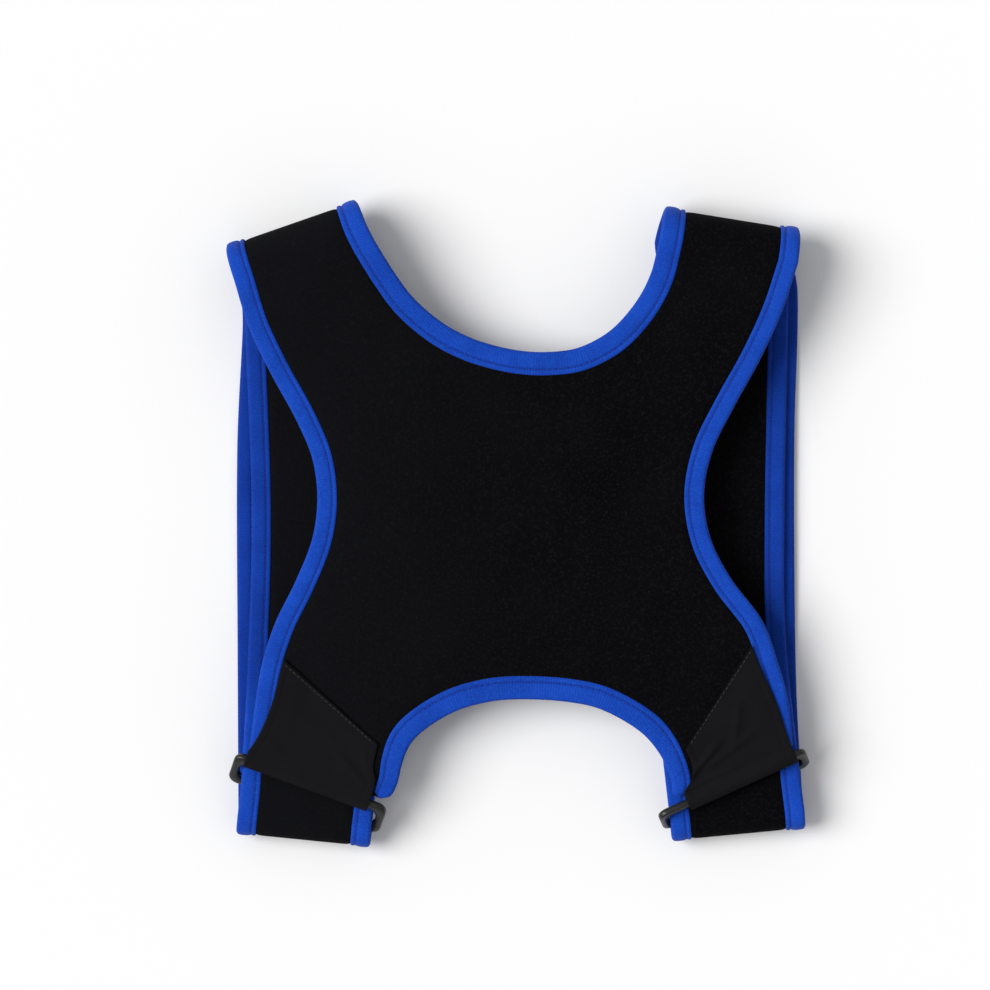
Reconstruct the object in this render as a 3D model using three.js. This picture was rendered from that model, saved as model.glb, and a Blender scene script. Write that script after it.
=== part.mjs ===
// Posture corrector of black neoprene with blue bound edges, lying flat with its back panel up.
// Each shoulder strap folds back under the panel, runs down, folds up again, passes through
// the ring in the lower wing of the panel and ends as a tail behind the panel.
// Millimetres, +Z up, X to the wearer's right as the photo shows it, Y towards the neck.
// Heights named ...Height are those of the middle of a layer above the table.

import * as THREE from 'three';
import { mergeVertices } from 'three/addons/utils/BufferGeometryUtils.js';

// Neoprene, edge tape and gusset fabric
const clearance = 0.3;
const slack = 0.1;
const foamThickness = 3.6;
const foamUnderTape = 2.2;
const tapeThickness = 0.8;
const tapeWidth = 11.2;
const wideTape = 13.2;
const fabricThickness = 1.2;
const foamShoulder = 4;
const tapeNose = 1.2;

// Straps
const strapWidth = 76;
const shoulderSpan = 248;
const shoulderReach = 170;
const hemReach = 178;
const tailReach = 139;
const shoulderHeight = 38;
const dropLength = 65;
const dropDelay = 4;

// Back panel
const panelHeight = 30.5;
const panelSag = 2;
const neckBottom = 96;
const archTop = 99;
const armholeDepth = 47;
const shoulderFall = 74;
const wingWidth = 79;
const wingFall = 78;
const wingGap = 5.2;

// Rings
const hemBelowBar = 31.8;
const barHeight = 27;
const barWidth = 5;
const barThickness = 4.4;
const barRounding = 1.1;
const slotWidth = 13;
const slotSideRoom = 3.7;
const ringEnd = 3.8;
const ringCorner = 7.5;
const slotCorner = 2;

// Gussets that hold the rings, and hook tabs at the tail ends
const gussetOuterRise = 52;
const gussetInnerRise = 31;
const tabLength = 36;
const tabThickness = 1.5;
const tabCorner = 6;
const tabEndGap = 4;
const tabSideGap = 1.5;

// Where each side lies: across in shares of shoulderSpan from the spine line, up and down in shares of
// the reach or drop that they follow, angles in degrees, flare and shift in shares of strapWidth.
const sides = [
  {
    name: 'left', hand: -1,
    foldAcross: 0.538, foldUp: 0.996, foldDroop: 19.2, foldFlare: 0.06, foldShift: 0.01,
    hemAcross: 0.514, hemDown: 1.008, hemRise: 5.7,
    barAcross: 0.494, barDown: 1.002, barRise: 20, ringTilt: 46,
    wingOut: 0.494, wingIn: 0.567, gussetSetback: 0.32,
    tailAcross: 0.495, tailUp: 0.97,
  },
  {
    name: 'right', hand: 1,
    foldAcross: 0.461, foldUp: 1.012, foldDroop: 9.2, foldFlare: 0.04, foldShift: 0.02,
    hemAcross: 0.481, hemDown: 0.99, hemRise: 5.4,
    barAcross: 0.463, barDown: 1.004, barRise: 24.3, ringTilt: 66,
    wingOut: 0.508, wingIn: 0.435, gussetSetback: 0.08,
    tailAcross: 0.444, tailUp: 1.03,
  },
];

// Neckline from its lowest point to the shoulder: across and up in shares of that stretch.
const neckline = {
  left: [
    { across: 0.13, up: 0.032 }, { across: 0.337, up: 0.113 }, { across: 0.53, up: 0.244 },
    { across: 0.721, up: 0.457 }, { across: 0.841, up: 0.669 }, { across: 0.943, up: 0.881 },
  ],
  right: [
    { across: 0.13, up: 0.003 }, { across: 0.348, up: 0.034 }, { across: 0.55, up: 0.139 },
    { across: 0.684, up: 0.261 }, { across: 0.84, up: 0.488 }, { across: 0.936, up: 0.714 },
  ],
};

// Armhole from the shoulder to the wing: down in shares of its length, inward of armholeDepth.
const armhole = {
  left: [
    { down: 0.1, inward: 0.157 }, { down: 0.2, inward: 0.405 }, { down: 0.3, inward: 0.695 },
    { down: 0.38, inward: 0.868 }, { down: 0.465, inward: 0.913 }, { down: 0.55, inward: 0.836 },
    { down: 0.64, inward: 0.621 }, { down: 0.73, inward: 0.357 }, { down: 0.82, inward: 0.181 },
    { down: 0.91, inward: 0.082 },
  ],
  right: [
    { down: 0.1, inward: 0.185 }, { down: 0.2, inward: 0.442 }, { down: 0.3, inward: 0.754 },
    { down: 0.39, inward: 1 }, { down: 0.48, inward: 1.094 }, { down: 0.57, inward: 1.008 },
    { down: 0.65, inward: 0.77 }, { down: 0.74, inward: 0.382 }, { down: 0.82, inward: 0.202 },
    { down: 0.91, inward: 0.055 },
  ],
};

// Arch of the waist from its top to the wing: across and down in shares of that stretch.
const arch = {
  left: [
    { across: 0.201, down: 0.008 }, { across: 0.489, down: 0.105 }, { across: 0.705, down: 0.265 },
    { across: 0.838, down: 0.43 }, { across: 0.903, down: 0.63 }, { across: 0.939, down: 0.83 },
  ],
  right: [
    { across: 0.257, down: 0.025 }, { across: 0.5, down: 0.103 }, { across: 0.778, down: 0.328 },
    { across: 0.899, down: 0.52 }, { across: 0.972, down: 0.716 }, { across: 0.993, down: 0.814 },
  ],
};

// Strap down from the shoulder fold to the hem fold, and up again from there to the tail end:
// along in shares of the stretch, outward in shares of strapWidth off the straight line.
const strapDown = {
  left: [
    { along: 0.1, outward: -0.034 }, { along: 0.34, outward: 0.004 }, { along: 0.7, outward: 0.004 },
  ],
  right: [
    { along: 0.08, outward: 0.04 }, { along: 0.3, outward: 0 }, { along: 0.5, outward: -0.022 },
    { along: 0.8, outward: -0.03 },
  ],
};
const strapUp = {
  left: [
    { along: 0.33, outward: -0.062 }, { along: 0.58, outward: -0.072 },
    { along: 0.95, outward: -0.004 },
  ],
  right: [
    { along: 0.33, outward: -0.1 }, { along: 0.54, outward: -0.086 },
    { along: 0.75, outward: -0.05 },
  ],
};

// How finely the layers are divided, how their rows crowd towards the start of a course, how soon
// they turn from one fold line to the next, and the step that slopes are taken over
const wingRows = 9;
const centreRows = 5;
const neckRows = 10;
const foldSteps = 9;
const hemSteps = 7;
const downRows = 7;
const upRows = 14;
const innerColumns = 3;
const gussetRows = 6;
const gussetColumns = 6;
const sleeveSteps = 6;
const wingShare = 0.36;
const neckShare = 0.52;
const downCrowding = 1.3;
const upCrowding = 1.4;
const foldTurn = 3;
const hemTurn = 5;
const barTurn = 4;
const probe = 0.5;

// Sizes that follow from those above
const barDrop = hemReach - hemBelowBar;
const foamHalf = foamThickness / 2;
const tapeInside = foamUnderTape / 2 + clearance;
const tapeHalf = tapeInside + tapeThickness;
const restHeight = tapeHalf;
const settle = tapeHalf - foamHalf;
const tailHeight = 3 * tapeHalf + clearance;
const foamEdge = tapeThickness + clearance;
const slotLength = strapWidth + 2 * slotSideRoom;
const ringLength = slotLength + 2 * ringEnd;
const sleeveHalf = slotLength / 2 - slotCorner - clearance;
const barPitch = slotWidth + barWidth;
const barCore = Math.hypot(barWidth / 2 - barRounding, barThickness / 2 - barRounding);
const barReach = barCore + barRounding;
const sleeveRadius = barReach + clearance + fabricThickness / 2 + slack;
const gussetOffset = tapeHalf + clearance + fabricThickness / 2;

const up = new THREE.Vector3(0, 0, 1);
const radians = THREE.MathUtils.degToRad;

function smooth(value) {
  const t = THREE.MathUtils.clamp(value, 0, 1);
  return t * t * (3 - 2 * t);
}

function direction(degrees) {
  return new THREE.Vector3(Math.cos(radians(degrees)), Math.sin(radians(degrees)), 0);
}

// A point at a distance from another one along one or two directions
function step(from, first, firstLength, second = up, secondLength = 0) {
  return from.clone().addScaledVector(first, firstLength).addScaledVector(second, secondLength);
}

// The fold lines, the ring bar and the heights of one side
function layOut(side) {
  const { hand } = side;
  const foldLine = direction(-hand * side.foldDroop);
  const hemLine = direction(hand * side.hemRise);
  const barLine = direction(hand * side.barRise);
  const fold = new THREE.Vector3(
    hand * side.foldAcross * shoulderSpan, side.foldUp * shoulderReach, 0);
  const hem = new THREE.Vector3(hand * side.hemAcross * shoulderSpan, -side.hemDown * hemReach, 0);
  const bar = new THREE.Vector3(
    hand * side.barAcross * shoulderSpan, -side.barDown * barDrop, barHeight);
  const lowerBarHeight = barHeight - barPitch * Math.sin(radians(side.ringTilt));
  const overLowerBar = lowerBarHeight + barReach + clearance + tapeHalf + slack;
  const underSleeve = barHeight - sleeveRadius - fabricThickness / 2 - clearance - tapeHalf;
  const riseHeight = Math.max(overLowerBar, underSleeve);
  const laid = {
    ...side, fold, hem, bar, riseHeight,
    foldLine, foldOut: up.clone().cross(foldLine), foldRadius: (shoulderHeight - restHeight) / 2,
    hemLine, hemOut: hemLine.clone().cross(up), hemRadius: (riseHeight - restHeight) / 2,
    barLine, barUp: up.clone().cross(barLine), outward: barLine.clone().multiplyScalar(hand),
  };
  return { ...laid, ...coursesOf(laid) };
}

const layouts = sides.map(layOut);
const [leftSide, rightSide] = layouts;

// Height of the middle of the back panel: it lifts to the shoulder folds, comes down to the
// ring bars and sags a little between them.
function panelLevel(x, y) {
  const side = x < 0 ? leftSide : rightSide;
  const point = new THREE.Vector3(x, y, 0);
  const fromFold = side.fold.clone().sub(point).dot(side.foldOut) - side.foldRadius - foamHalf;
  const fromBar = point.clone().sub(side.bar).dot(side.barUp) - wingGap;
  const lift = (shoulderHeight - panelHeight) * (1 - smooth(fromFold / shoulderFall));
  const drop = (panelHeight - barHeight) * (1 - smooth(fromBar / wingFall));
  const sag = panelSag * (1 - smooth(Math.hypot(x / armholeDepth, y / neckBottom) / 2));
  return panelHeight + lift - drop - sag;
}

function panelNormal(x, y) {
  const slopeX = (panelLevel(x + probe, y) - panelLevel(x - probe, y)) / (2 * probe);
  const slopeY = (panelLevel(x, y + probe) - panelLevel(x, y - probe)) / (2 * probe);
  return new THREE.Vector3(-slopeX, -slopeY, 1).normalize();
}

// A row of a strap: its middle, the line across it, the normal of its outer face
function strapRow(middle, line, normal, half, settled = 0, wide = 0) {
  return { middle, line, normal, half, settled, wide };
}

// A smooth course in plan between two points, bent by a table of shares
function course(from, to, table, hand, through = []) {
  const span = to.clone().sub(from).setZ(0);
  const aside = new THREE.Vector3(Math.abs(span.y), -Math.sign(span.y) * span.x, 0);
  aside.normalize().multiplyScalar(hand);
  const bends = table.map(({ along, outward }) =>
    step(from, span, along, aside, outward * strapWidth).setZ(0));
  return new THREE.CatmullRomCurve3(
    [from.clone().setZ(0), ...through, ...bends, to.clone().setZ(0)], false, 'centripetal');
}

// How far the lower bar of the tilted ring lies below the upper one in plan
function barBack(side) {
  return barPitch * Math.cos(radians(side.ringTilt));
}

// The feet of the two folds, where the strap leaves them, and its courses between them
function coursesOf(side) {
  const foldFoot = step(side.fold, side.foldOut, -side.foldRadius - foamHalf);
  const hemFoot = step(side.hem, side.hemOut, -side.hemRadius - foamHalf);
  const tailEnd = new THREE.Vector3(
    side.hand * side.tailAcross * shoulderSpan, side.tailUp * tailReach, 0);
  const inSlot = step(side.bar, side.barUp, -barBack(side) / 2).setZ(0);
  return {
    foldFoot,
    hemFoot,
    downCourse: course(foldFoot, hemFoot, strapDown[side.name], side.hand),
    upCourse: course(hemFoot, tailEnd, strapUp[side.name], side.hand, [inSlot]),
  };
}

// Angle in plan of a direction across the strap, in degrees either side of +X
function angleOf(line) {
  return THREE.MathUtils.radToDeg(Math.atan2(line.y, line.x));
}

// Half the width of the strap along a line that isn't square to its course
function halfAcross(curve, share, line) {
  const ahead = curve.getTangentAt(share);
  return strapWidth / 2 / Math.abs(ahead.x * line.y - ahead.y * line.x);
}

// Half a turn of the strap round the shoulder fold, from the panel down to the table
function foldRows(side) {
  const rows = [];
  const { foldLine, foldOut, foldRadius } = side;
  const centre = step(side.foldFoot, up, restHeight + foldRadius);
  const lowerHalf = halfAcross(side.downCourse, 0, foldLine);
  for (let i = 0; i <= foldSteps; i += 1) {
    const angle = (Math.PI * i) / foldSteps;
    const above = (1 + Math.cos(angle)) / 2;
    const below = Math.max(0, -Math.cos(angle)) ** 2;
    const half = (strapWidth / 2) * (1 + side.foldFlare * above) * (1 - below) + lowerHalf * below;
    const middle = step(centre, foldOut, foldRadius * Math.sin(angle), up, foldRadius * Math.cos(angle));
    const normal = foldOut.clone().multiplyScalar(Math.sin(angle)).addScaledVector(up, Math.cos(angle));
    middle.addScaledVector(foldLine, side.foldShift * strapWidth * side.hand * above);
    rows.push(strapRow(middle, foldLine, normal, half, i === foldSteps ? 1 : 0, above));
  }
  return rows;
}

// Half a turn of the strap round the hem fold, from the table up to the level of the ring
function hemRows(side) {
  const rows = [];
  const { hemLine, hemOut, hemRadius } = side;
  const centre = step(side.hemFoot, up, restHeight + hemRadius);
  const lowerHalf = halfAcross(side.downCourse, 1, hemLine);
  const upperHalf = halfAcross(side.upCourse, 0, hemLine);
  for (let i = 0; i <= hemSteps; i += 1) {
    const share = i / hemSteps;
    const angle = Math.PI * share;
    const middle = step(centre, hemOut, hemRadius * Math.sin(angle), up, -hemRadius * Math.cos(angle));
    const normal = hemOut.clone().multiplyScalar(Math.sin(angle)).addScaledVector(up, -Math.cos(angle));
    const half = lowerHalf * (1 - share) + upperHalf * share;
    rows.push(strapRow(middle, hemLine, normal, half, i === 0 ? 1 : 0));
  }
  return rows;
}

// The strap on the table, from the seam below the shoulder fold to the hem
function downRowsOf(side) {
  const curve = side.downCourse;
  const shares = [clearance / curve.getLength()];
  for (let i = 1; i < downRows; i += 1) shares.push((i / downRows) ** downCrowding);
  const rows = shares.map((share) => {
    const turned = smooth(share * foldTurn);
    const turning = smooth((share - 1) * hemTurn + 1);
    const angle = angleOf(side.foldLine) * (1 - turned) + angleOf(side.hemLine) * turning;
    const line = direction(angle);
    const middle = curve.getPointAt(share).setZ(restHeight);
    return strapRow(middle, line, up.clone().negate(), halfAcross(curve, share, line), 1);
  });
  rows[0].seam = true;
  return rows;
}

// The strap above the table, from the hem through the ring and down to the end of the tail
function upRowsOf(side) {
  const curve = side.upCourse;
  const level = (point) => {
    const past = point.clone().sub(side.bar).dot(side.barUp) + barBack(side) - dropDelay;
    return side.riseHeight - (side.riseHeight - tailHeight) * smooth(past / dropLength);
  };
  const crossing = hemBelowBar / curve.getLength();
  const rows = [];
  for (let i = 1; i <= upRows; i += 1) {
    const share = (i / upRows) ** upCrowding;
    const toBar = smooth(share / crossing);
    const fromBar = smooth((share - crossing) * barTurn);
    const angle = angleOf(side.hemLine) * (1 - toBar) + angleOf(side.barLine) * (toBar - fromBar);
    const line = direction(angle);
    const point = curve.getPointAt(share);
    const ahead = curve.getTangentAt(share);
    const rise = level(step(point, ahead, probe)) - level(step(point, ahead, -probe));
    const slope = rise / (2 * probe);
    const normal = line.clone().cross(ahead.clone().setZ(slope)).normalize();
    rows.push(strapRow(point.setZ(level(point)), line, normal, halfAcross(curve, share, line)));
  }
  return rows;
}

function allStrapRows(side) {
  return [...foldRows(side), ...downRowsOf(side), ...hemRows(side), ...upRowsOf(side)];
}

// An edge station: the outermost point of the edge at the middle of the layer, the normal there,
// a line that the row keeps to where hold is 1, and the width of the tape there. Where hold is 0
// the row leaves the edge squarely.
function edgeStation(point, normal, line, hold, width = tapeWidth) {
  return { point, normal, line, hold, width };
}

// The end of a strap row towards the spine or away from it; the tape widens to the neckline
function strapStation(row, side, towards) {
  const line = row.line.clone().multiplyScalar(-towards);
  const width = towards === side.hand ? tapeWidth : tapeWidth + (wideTape - tapeWidth) * row.wide;
  const point = step(row.middle, row.line, towards * row.half);
  const station = edgeStation(point, row.normal, line, 1, width);
  return Object.assign(station, { settled: row.settled, seam: row.seam });
}

// Give each station its inward vector, one millimetre of which is one millimetre from the edge.
function finishEdge(stations) {
  stations.forEach((station, i) => {
    const before = stations[Math.max(0, i - 1)].point;
    const after = stations[Math.min(stations.length - 1, i + 1)].point;
    const along = after.clone().sub(before);
    const square = station.normal.clone().cross(along).normalize();
    if (square.dot(station.line) < 0) square.negate();
    const inward = square.clone().lerp(station.line, station.hold);
    inward.addScaledVector(station.normal, -inward.dot(station.normal));
    station.inward = inward.divideScalar(inward.dot(square));
  });
  return stations;
}

function onPanel(point, line, hold, width) {
  const level = panelLevel(point.x, point.y);
  return edgeStation(point.clone().setZ(level), panelNormal(point.x, point.y), line, hold, width);
}

// An outline of the panel between two points, through a table of shares
function outline(points) {
  return new THREE.CatmullRomCurve3(points.map((point) => point.clone().setZ(0)), false, 'centripetal');
}

function wingEnd(side, share) {
  return step(side.bar, side.outward, share * wingWidth, side.barUp, wingGap).setZ(0);
}

function outlinesOf(side, shoulder) {
  const inner = step(shoulder.middle, shoulder.line, -side.hand * shoulder.half).setZ(0);
  const outer = step(shoulder.middle, shoulder.line, side.hand * shoulder.half).setZ(0);
  const wingOuter = wingEnd(side, side.wingOut);
  const wingInner = wingEnd(side, -side.wingIn);
  const neck = neckline[side.name].map(({ across, up: rise }) =>
    new THREE.Vector3(inner.x * across, neckBottom + (inner.y - neckBottom) * rise, 0));
  const waist = armhole[side.name].map(({ down, inward }) => {
    const point = outer.clone().lerp(wingOuter, down);
    return point.setX(point.x - side.hand * inward * armholeDepth);
  });
  const vault = arch[side.name].map(({ across, down }) =>
    new THREE.Vector3(wingInner.x * across, -archTop + (wingInner.y + archTop) * down, 0));
  return {
    neck: outline([new THREE.Vector3(0, neckBottom, 0), ...neck, inner]),
    armhole: outline([wingOuter, ...waist.reverse(), outer]),
    arch: outline([new THREE.Vector3(0, -archTop, 0), ...vault, wingInner]),
  };
}

// Sequences of stations along the edges of one side, from the spine outwards or from the wing up
function edgesOf(side) {
  const strap = allStrapRows(side);
  const curves = outlinesOf(side, strap[0]);
  const inwardLine = side.foldLine.clone().multiplyScalar(-side.hand);
  const outwardLine = inwardLine.clone().negate();
  const barInward = side.outward.clone().negate();
  const panelRows = wingRows + centreRows + neckRows;
  const outer = [];
  for (let i = 0; i < panelRows; i += 1) {
    let share = (wingShare * i) / wingRows;
    if (i > wingRows) share = wingShare + ((neckShare - wingShare) * (i - wingRows)) / centreRows;
    if (i > wingRows + centreRows) {
      share = neckShare + ((1 - neckShare) * (i - wingRows - centreRows)) / neckRows;
    }
    const atWing = 1 - smooth(i / 3);
    const atShoulder = smooth((i - panelRows + 4) / 4);
    const line = atWing > 0 ? barInward : inwardLine;
    outer.push(onPanel(curves.armhole.getPointAt(share), line, Math.max(atWing, atShoulder)));
  }
  const neck = [];
  for (let i = 1; i < neckRows; i += 1) {
    const hold = smooth((i - neckRows + 4) / 4);
    neck.push(onPanel(curves.neck.getPointAt(i / neckRows), outwardLine, hold, wideTape));
  }
  const vault = [];
  for (let i = 1; i <= wingRows; i += 1) {
    const hold = smooth((i - wingRows + 3) / 3);
    vault.push(onPanel(curves.arch.getPointAt(i / wingRows), side.outward, hold, wideTape));
  }
  const strapOuter = strap.map((row) => strapStation(row, side, side.hand));
  const strapInner = strap.map((row) => strapStation(row, side, -side.hand));
  return {
    side, strap, neck, arch: vault, strapInner, strapOuter, panelOuter: outer,
    outer: finishEdge([...outer, ...strapOuter]),
    armholeCurve: curves.armhole, archCurve: curves.arch,
  };
}

const edges = layouts.map(edgesOf);
const [left, right] = edges;
const yAxis = new THREE.Vector3(0, 1, 0);
const neckMiddle = onPanel(new THREE.Vector3(0, neckBottom, 0), yAxis.clone().negate(), 1, wideTape);
const archMiddle = onPanel(new THREE.Vector3(0, -archTop, 0), yAxis, 1, wideTape);
const neckEdge = finishEdge([
  ...[...left.neck, ...left.strapInner].reverse(), neckMiddle, ...right.neck, ...right.strapInner,
]);
const archEdge = finishEdge([...[...left.arch].reverse(), archMiddle, ...right.arch]);

// Meshes: a closed solid from points and faces, with its faces turned outwards
function solid(points, faces) {
  const geometry = new THREE.BufferGeometry();
  const flat = points.flatMap((point) => [point.x, point.y, point.z]);
  geometry.setAttribute('position', new THREE.Float32BufferAttribute(flat, 3));
  const volume = faces.reduce((sum, [a, b, c]) =>
    sum + points[a].dot(points[b].clone().cross(points[c])), 0);
  const turned = volume < 0 ? faces.map(([a, b, c]) => [a, c, b]) : faces;
  geometry.setIndex(turned.flat());
  return geometry;
}

// A sheet: middle points with a normal and half a thickness each, and the quads between them
class Sheet {
  constructor() {
    this.knots = [];
    this.faces = [];
  }

  add(point, normal, half) {
    this.knots.push({ point, normal, half });
    return this.knots.length - 1;
  }

  // Quads between two rows of knots, of which the shorter one sets the number
  join(first, second) {
    const count = Math.min(first.length, second.length);
    for (let i = 0; i + 1 < count; i += 1) {
      this.faces.push([first[i], first[i + 1], second[i + 1]], [first[i], second[i + 1], second[i]]);
    }
  }

  close() {
    const count = this.knots.length;
    const top = this.knots.map(({ point, normal, half }) => step(point, normal, half));
    const bottom = this.knots.map(({ point, normal, half }) => step(point, normal, -half));
    const faces = [];
    const open = new Map();
    for (const [a, b, c] of this.faces) {
      faces.push([a, b, c], [a + count, c + count, b + count]);
      for (const [from, to] of [[a, b], [b, c], [c, a]]) {
        if (!open.delete(`${to} ${from}`)) open.set(`${from} ${to}`, [from, to]);
      }
    }
    for (const [from, to] of open.values()) {
      faces.push([from, from + count, to + count], [from, to + count, to]);
    }
    return solid([...top, ...bottom], faces);
  }
}

// A run of equal sections, closed at both ends
function loft(sections, profile) {
  const size = profile.length;
  const faces = [];
  for (let i = 0; i + 1 < sections.length; i += 1) {
    for (let j = 0; j < size; j += 1) {
      const next = (j + 1) % size;
      const here = i * size;
      const there = here + size;
      faces.push([here + j, here + next, there + next], [here + j, there + next, there + j]);
    }
  }
  const last = (sections.length - 1) * size;
  for (const [a, b, c] of THREE.ShapeUtils.triangulateShape(profile, [])) {
    faces.push([a, c, b], [last + a, last + b, last + c]);
  }
  return solid(sections.flat(), faces);
}

// The folded edge tape in section: x is the distance in from the edge, y the height off the middle
function tapeProfile(width) {
  return [
    [0, 0], [tapeNose, -tapeHalf], [width, -tapeHalf], [width, -tapeInside],
    [tapeThickness, -tapeInside], [tapeThickness, tapeInside], [width, tapeInside],
    [width, tapeHalf], [tapeNose, tapeHalf],
  ].map(([x, y]) => new THREE.Vector2(x, y));
}

function binding(stations) {
  const sections = stations.filter((station) => !station.seam).map(({ point, inward, normal, width }) =>
    tapeProfile(width).map(({ x, y }) => step(point, inward, x, normal, y)));
  return loft(sections, tapeProfile(tapeWidth));
}

// Knots in from an edge, the outermost first: pinched under the tape, then full
function band(sheet, station) {
  const { point, inward, normal, width, settled = 0 } = station;
  const shelf = width + clearance + slack;
  const under = [foamEdge, shelf].map((inset) =>
    sheet.add(step(point, inward, inset), normal, foamUnderTape / 2));
  const full = step(point, inward, shelf + foamShoulder, normal, settled * settle);
  return [...under, sheet.add(full, normal, foamHalf)];
}

// A row of knots between two bands
function rowBetween(sheet, outer, inner, place) {
  const from = sheet.knots[outer[outer.length - 1]];
  const to = sheet.knots[inner[inner.length - 1]];
  const middle = [];
  for (let i = 1; i <= innerColumns; i += 1) {
    const share = i / (innerColumns + 1);
    const point = from.point.clone().lerp(to.point, share);
    const normal = from.normal.clone().lerp(to.normal, share).normalize();
    if (place) {
      point.setZ(panelLevel(point.x, point.y));
      normal.copy(panelNormal(point.x, point.y));
    }
    middle.push(sheet.add(point, normal, foamHalf));
  }
  return [...outer, ...middle, ...[...inner].reverse()];
}

function strapSheetRow(sheet, edge, index) {
  const outer = band(sheet, edge.strapOuter[index]);
  const inner = band(sheet, edge.strapInner[index]);
  return rowBetween(sheet, outer, inner, false);
}

// Back panel with both shoulders, as far as the butt seam below each shoulder fold
function backPanel() {
  const sheet = new Sheet();
  const archBand = band(sheet, archMiddle);
  const neckBand = band(sheet, neckMiddle);
  const archKnot = sheet.knots[archBand[2]].point;
  const neckKnot = sheet.knots[neckBand[2]].point;
  const spine = [[archBand[2]]];
  for (let i = 1; i < centreRows; i += 1) {
    const point = archKnot.clone().lerp(neckKnot, i / centreRows);
    point.setZ(panelLevel(0, point.y));
    spine.push([sheet.add(point, panelNormal(0, point.y), foamHalf)]);
  }
  for (const edge of edges) {
    const rows = [];
    edge.panelOuter.forEach((station, i) => {
      let inner = spine[i - wingRows];
      if (i < wingRows) inner = band(sheet, edge.arch[wingRows - 1 - i]);
      if (i === wingRows) inner = archBand;
      if (i === wingRows + centreRows) inner = neckBand;
      if (i > wingRows + centreRows) inner = band(sheet, edge.neck[i - wingRows - centreRows - 1]);
      rows.push(rowBetween(sheet, band(sheet, station), inner, true));
    });
    for (let i = 0; i <= foldSteps; i += 1) rows.push(strapSheetRow(sheet, edge, i));
    for (let i = 0; i + 1 < rows.length; i += 1) {
      if (edge.side.hand < 0) sheet.join(rows[i], rows[i + 1]);
      else sheet.join(rows[i + 1], rows[i]);
    }
  }
  return sheet.close();
}

function shoulderStrap(edge) {
  const sheet = new Sheet();
  const rows = [];
  for (let i = foldSteps + 1; i < edge.strap.length; i += 1) rows.push(strapSheetRow(sheet, edge, i));
  for (let i = 0; i + 1 < rows.length; i += 1) sheet.join(rows[i], rows[i + 1]);
  return sheet.close();
}

// Gusset: one piece of fabric, doubled round the ring bar over both faces of the wing.
// Its outer edge crosses the armhole tape and its inner edge stays beside the arch tape.
function gusset(edge) {
  const { side, armholeCurve, archCurve } = edge;
  const armholeLength = armholeCurve.getLength();
  const archLength = archCurve.getLength();
  const barInward = side.outward.clone().negate();
  const outer = [];
  const inner = [];
  for (let i = 0; i <= gussetRows; i += 1) {
    const share = i / gussetRows;
    const hold = 1 - smooth(share * 2);
    const onArmhole = armholeCurve.getPointAt((share * gussetOuterRise) / armholeLength);
    const onArch = archCurve.getPointAt(1 - (share * gussetInnerRise) / archLength);
    outer.push(onPanel(onArmhole, barInward, hold));
    inner.push(onPanel(onArch, side.outward, hold));
  }
  finishEdge(outer);
  finishEdge(inner);
  const inSlot = side.wingOut * wingWidth - sleeveHalf;
  const layer = outer.map((station, i) => {
    const share = i / gussetRows;
    const acrossTape = inSlot + (tapeWidth - inSlot) * smooth(share);
    const besideArch = wideTape * (1 + side.gussetSetback * share) + 2 * clearance;
    return [
      step(station.point, station.inward, acrossTape),
      step(inner[i].point, inner[i].inward, besideArch),
    ];
  });
  const across = (pair, column) => pair[0].clone().lerp(pair[1], column / gussetColumns);
  const sheet = new Sheet();
  const rows = [];
  const addLayer = (pair, face) => rows.push(Array.from({ length: gussetColumns + 1 }, (_, column) => {
    const point = across(pair, column);
    const normal = panelNormal(point.x, point.y);
    point.setZ(panelLevel(point.x, point.y));
    const turned = normal.clone().multiplyScalar(face);
    return sheet.add(step(point, turned, gussetOffset), turned, fabricThickness / 2);
  }));
  [...layer].reverse().forEach((pair) => addLayer(pair, -1));
  for (let i = 0; i <= sleeveSteps; i += 1) {
    const angle = (Math.PI * i) / sleeveSteps;
    const away = side.barUp.clone().multiplyScalar(-Math.sin(angle)).addScaledVector(up, -Math.cos(angle));
    rows.push(Array.from({ length: gussetColumns + 1 }, (_, column) => {
      const place = across(layer[0], column).sub(side.bar).dot(side.outward);
      const onBar = step(side.bar, side.outward, place);
      return sheet.add(step(onBar, away, sleeveRadius), away, fabricThickness / 2);
    }));
  }
  layer.forEach((pair) => addLayer(pair, 1));
  for (let i = 0; i + 1 < rows.length; i += 1) sheet.join(rows[i], rows[i + 1]);
  return sheet.close();
}

// A rectangle with round corners, as a shape or as a hole in one
function roundedRectangle(Kind, width, height, radius) {
  const x = width / 2 - radius;
  const y = height / 2 - radius;
  const outlineOf = new Kind();
  outlineOf.moveTo(x, -height / 2);
  outlineOf.absarc(x, -y, radius, -Math.PI / 2, 0, false);
  outlineOf.absarc(x, y, radius, 0, Math.PI / 2, false);
  outlineOf.absarc(-x, y, radius, Math.PI / 2, Math.PI, false);
  outlineOf.absarc(-x, -y, radius, Math.PI, 1.5 * Math.PI, false);
  return outlineOf;
}

// Flat piece from a shape, centred on its thickness, with rounded rims
function plate(shape, thickness, rounding, corners) {
  const geometry = new THREE.ExtrudeGeometry(shape, {
    depth: thickness - 2 * rounding,
    curveSegments: corners,
    bevelEnabled: rounding > 0,
    bevelThickness: rounding,
    bevelSize: rounding,
    bevelOffset: -rounding,
    bevelSegments: 2,
  });
  geometry.translate(0, 0, rounding - thickness / 2);
  geometry.deleteAttribute('normal');
  geometry.deleteAttribute('uv');
  return mergeVertices(geometry, 0.0001);
}

function ringPlate() {
  const shape = roundedRectangle(THREE.Shape, ringLength, barPitch + barWidth, ringCorner);
  shape.holes.push(roundedRectangle(THREE.Path, slotLength, slotWidth, slotCorner));
  return plate(shape, barThickness, barRounding, 3);
}

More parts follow.
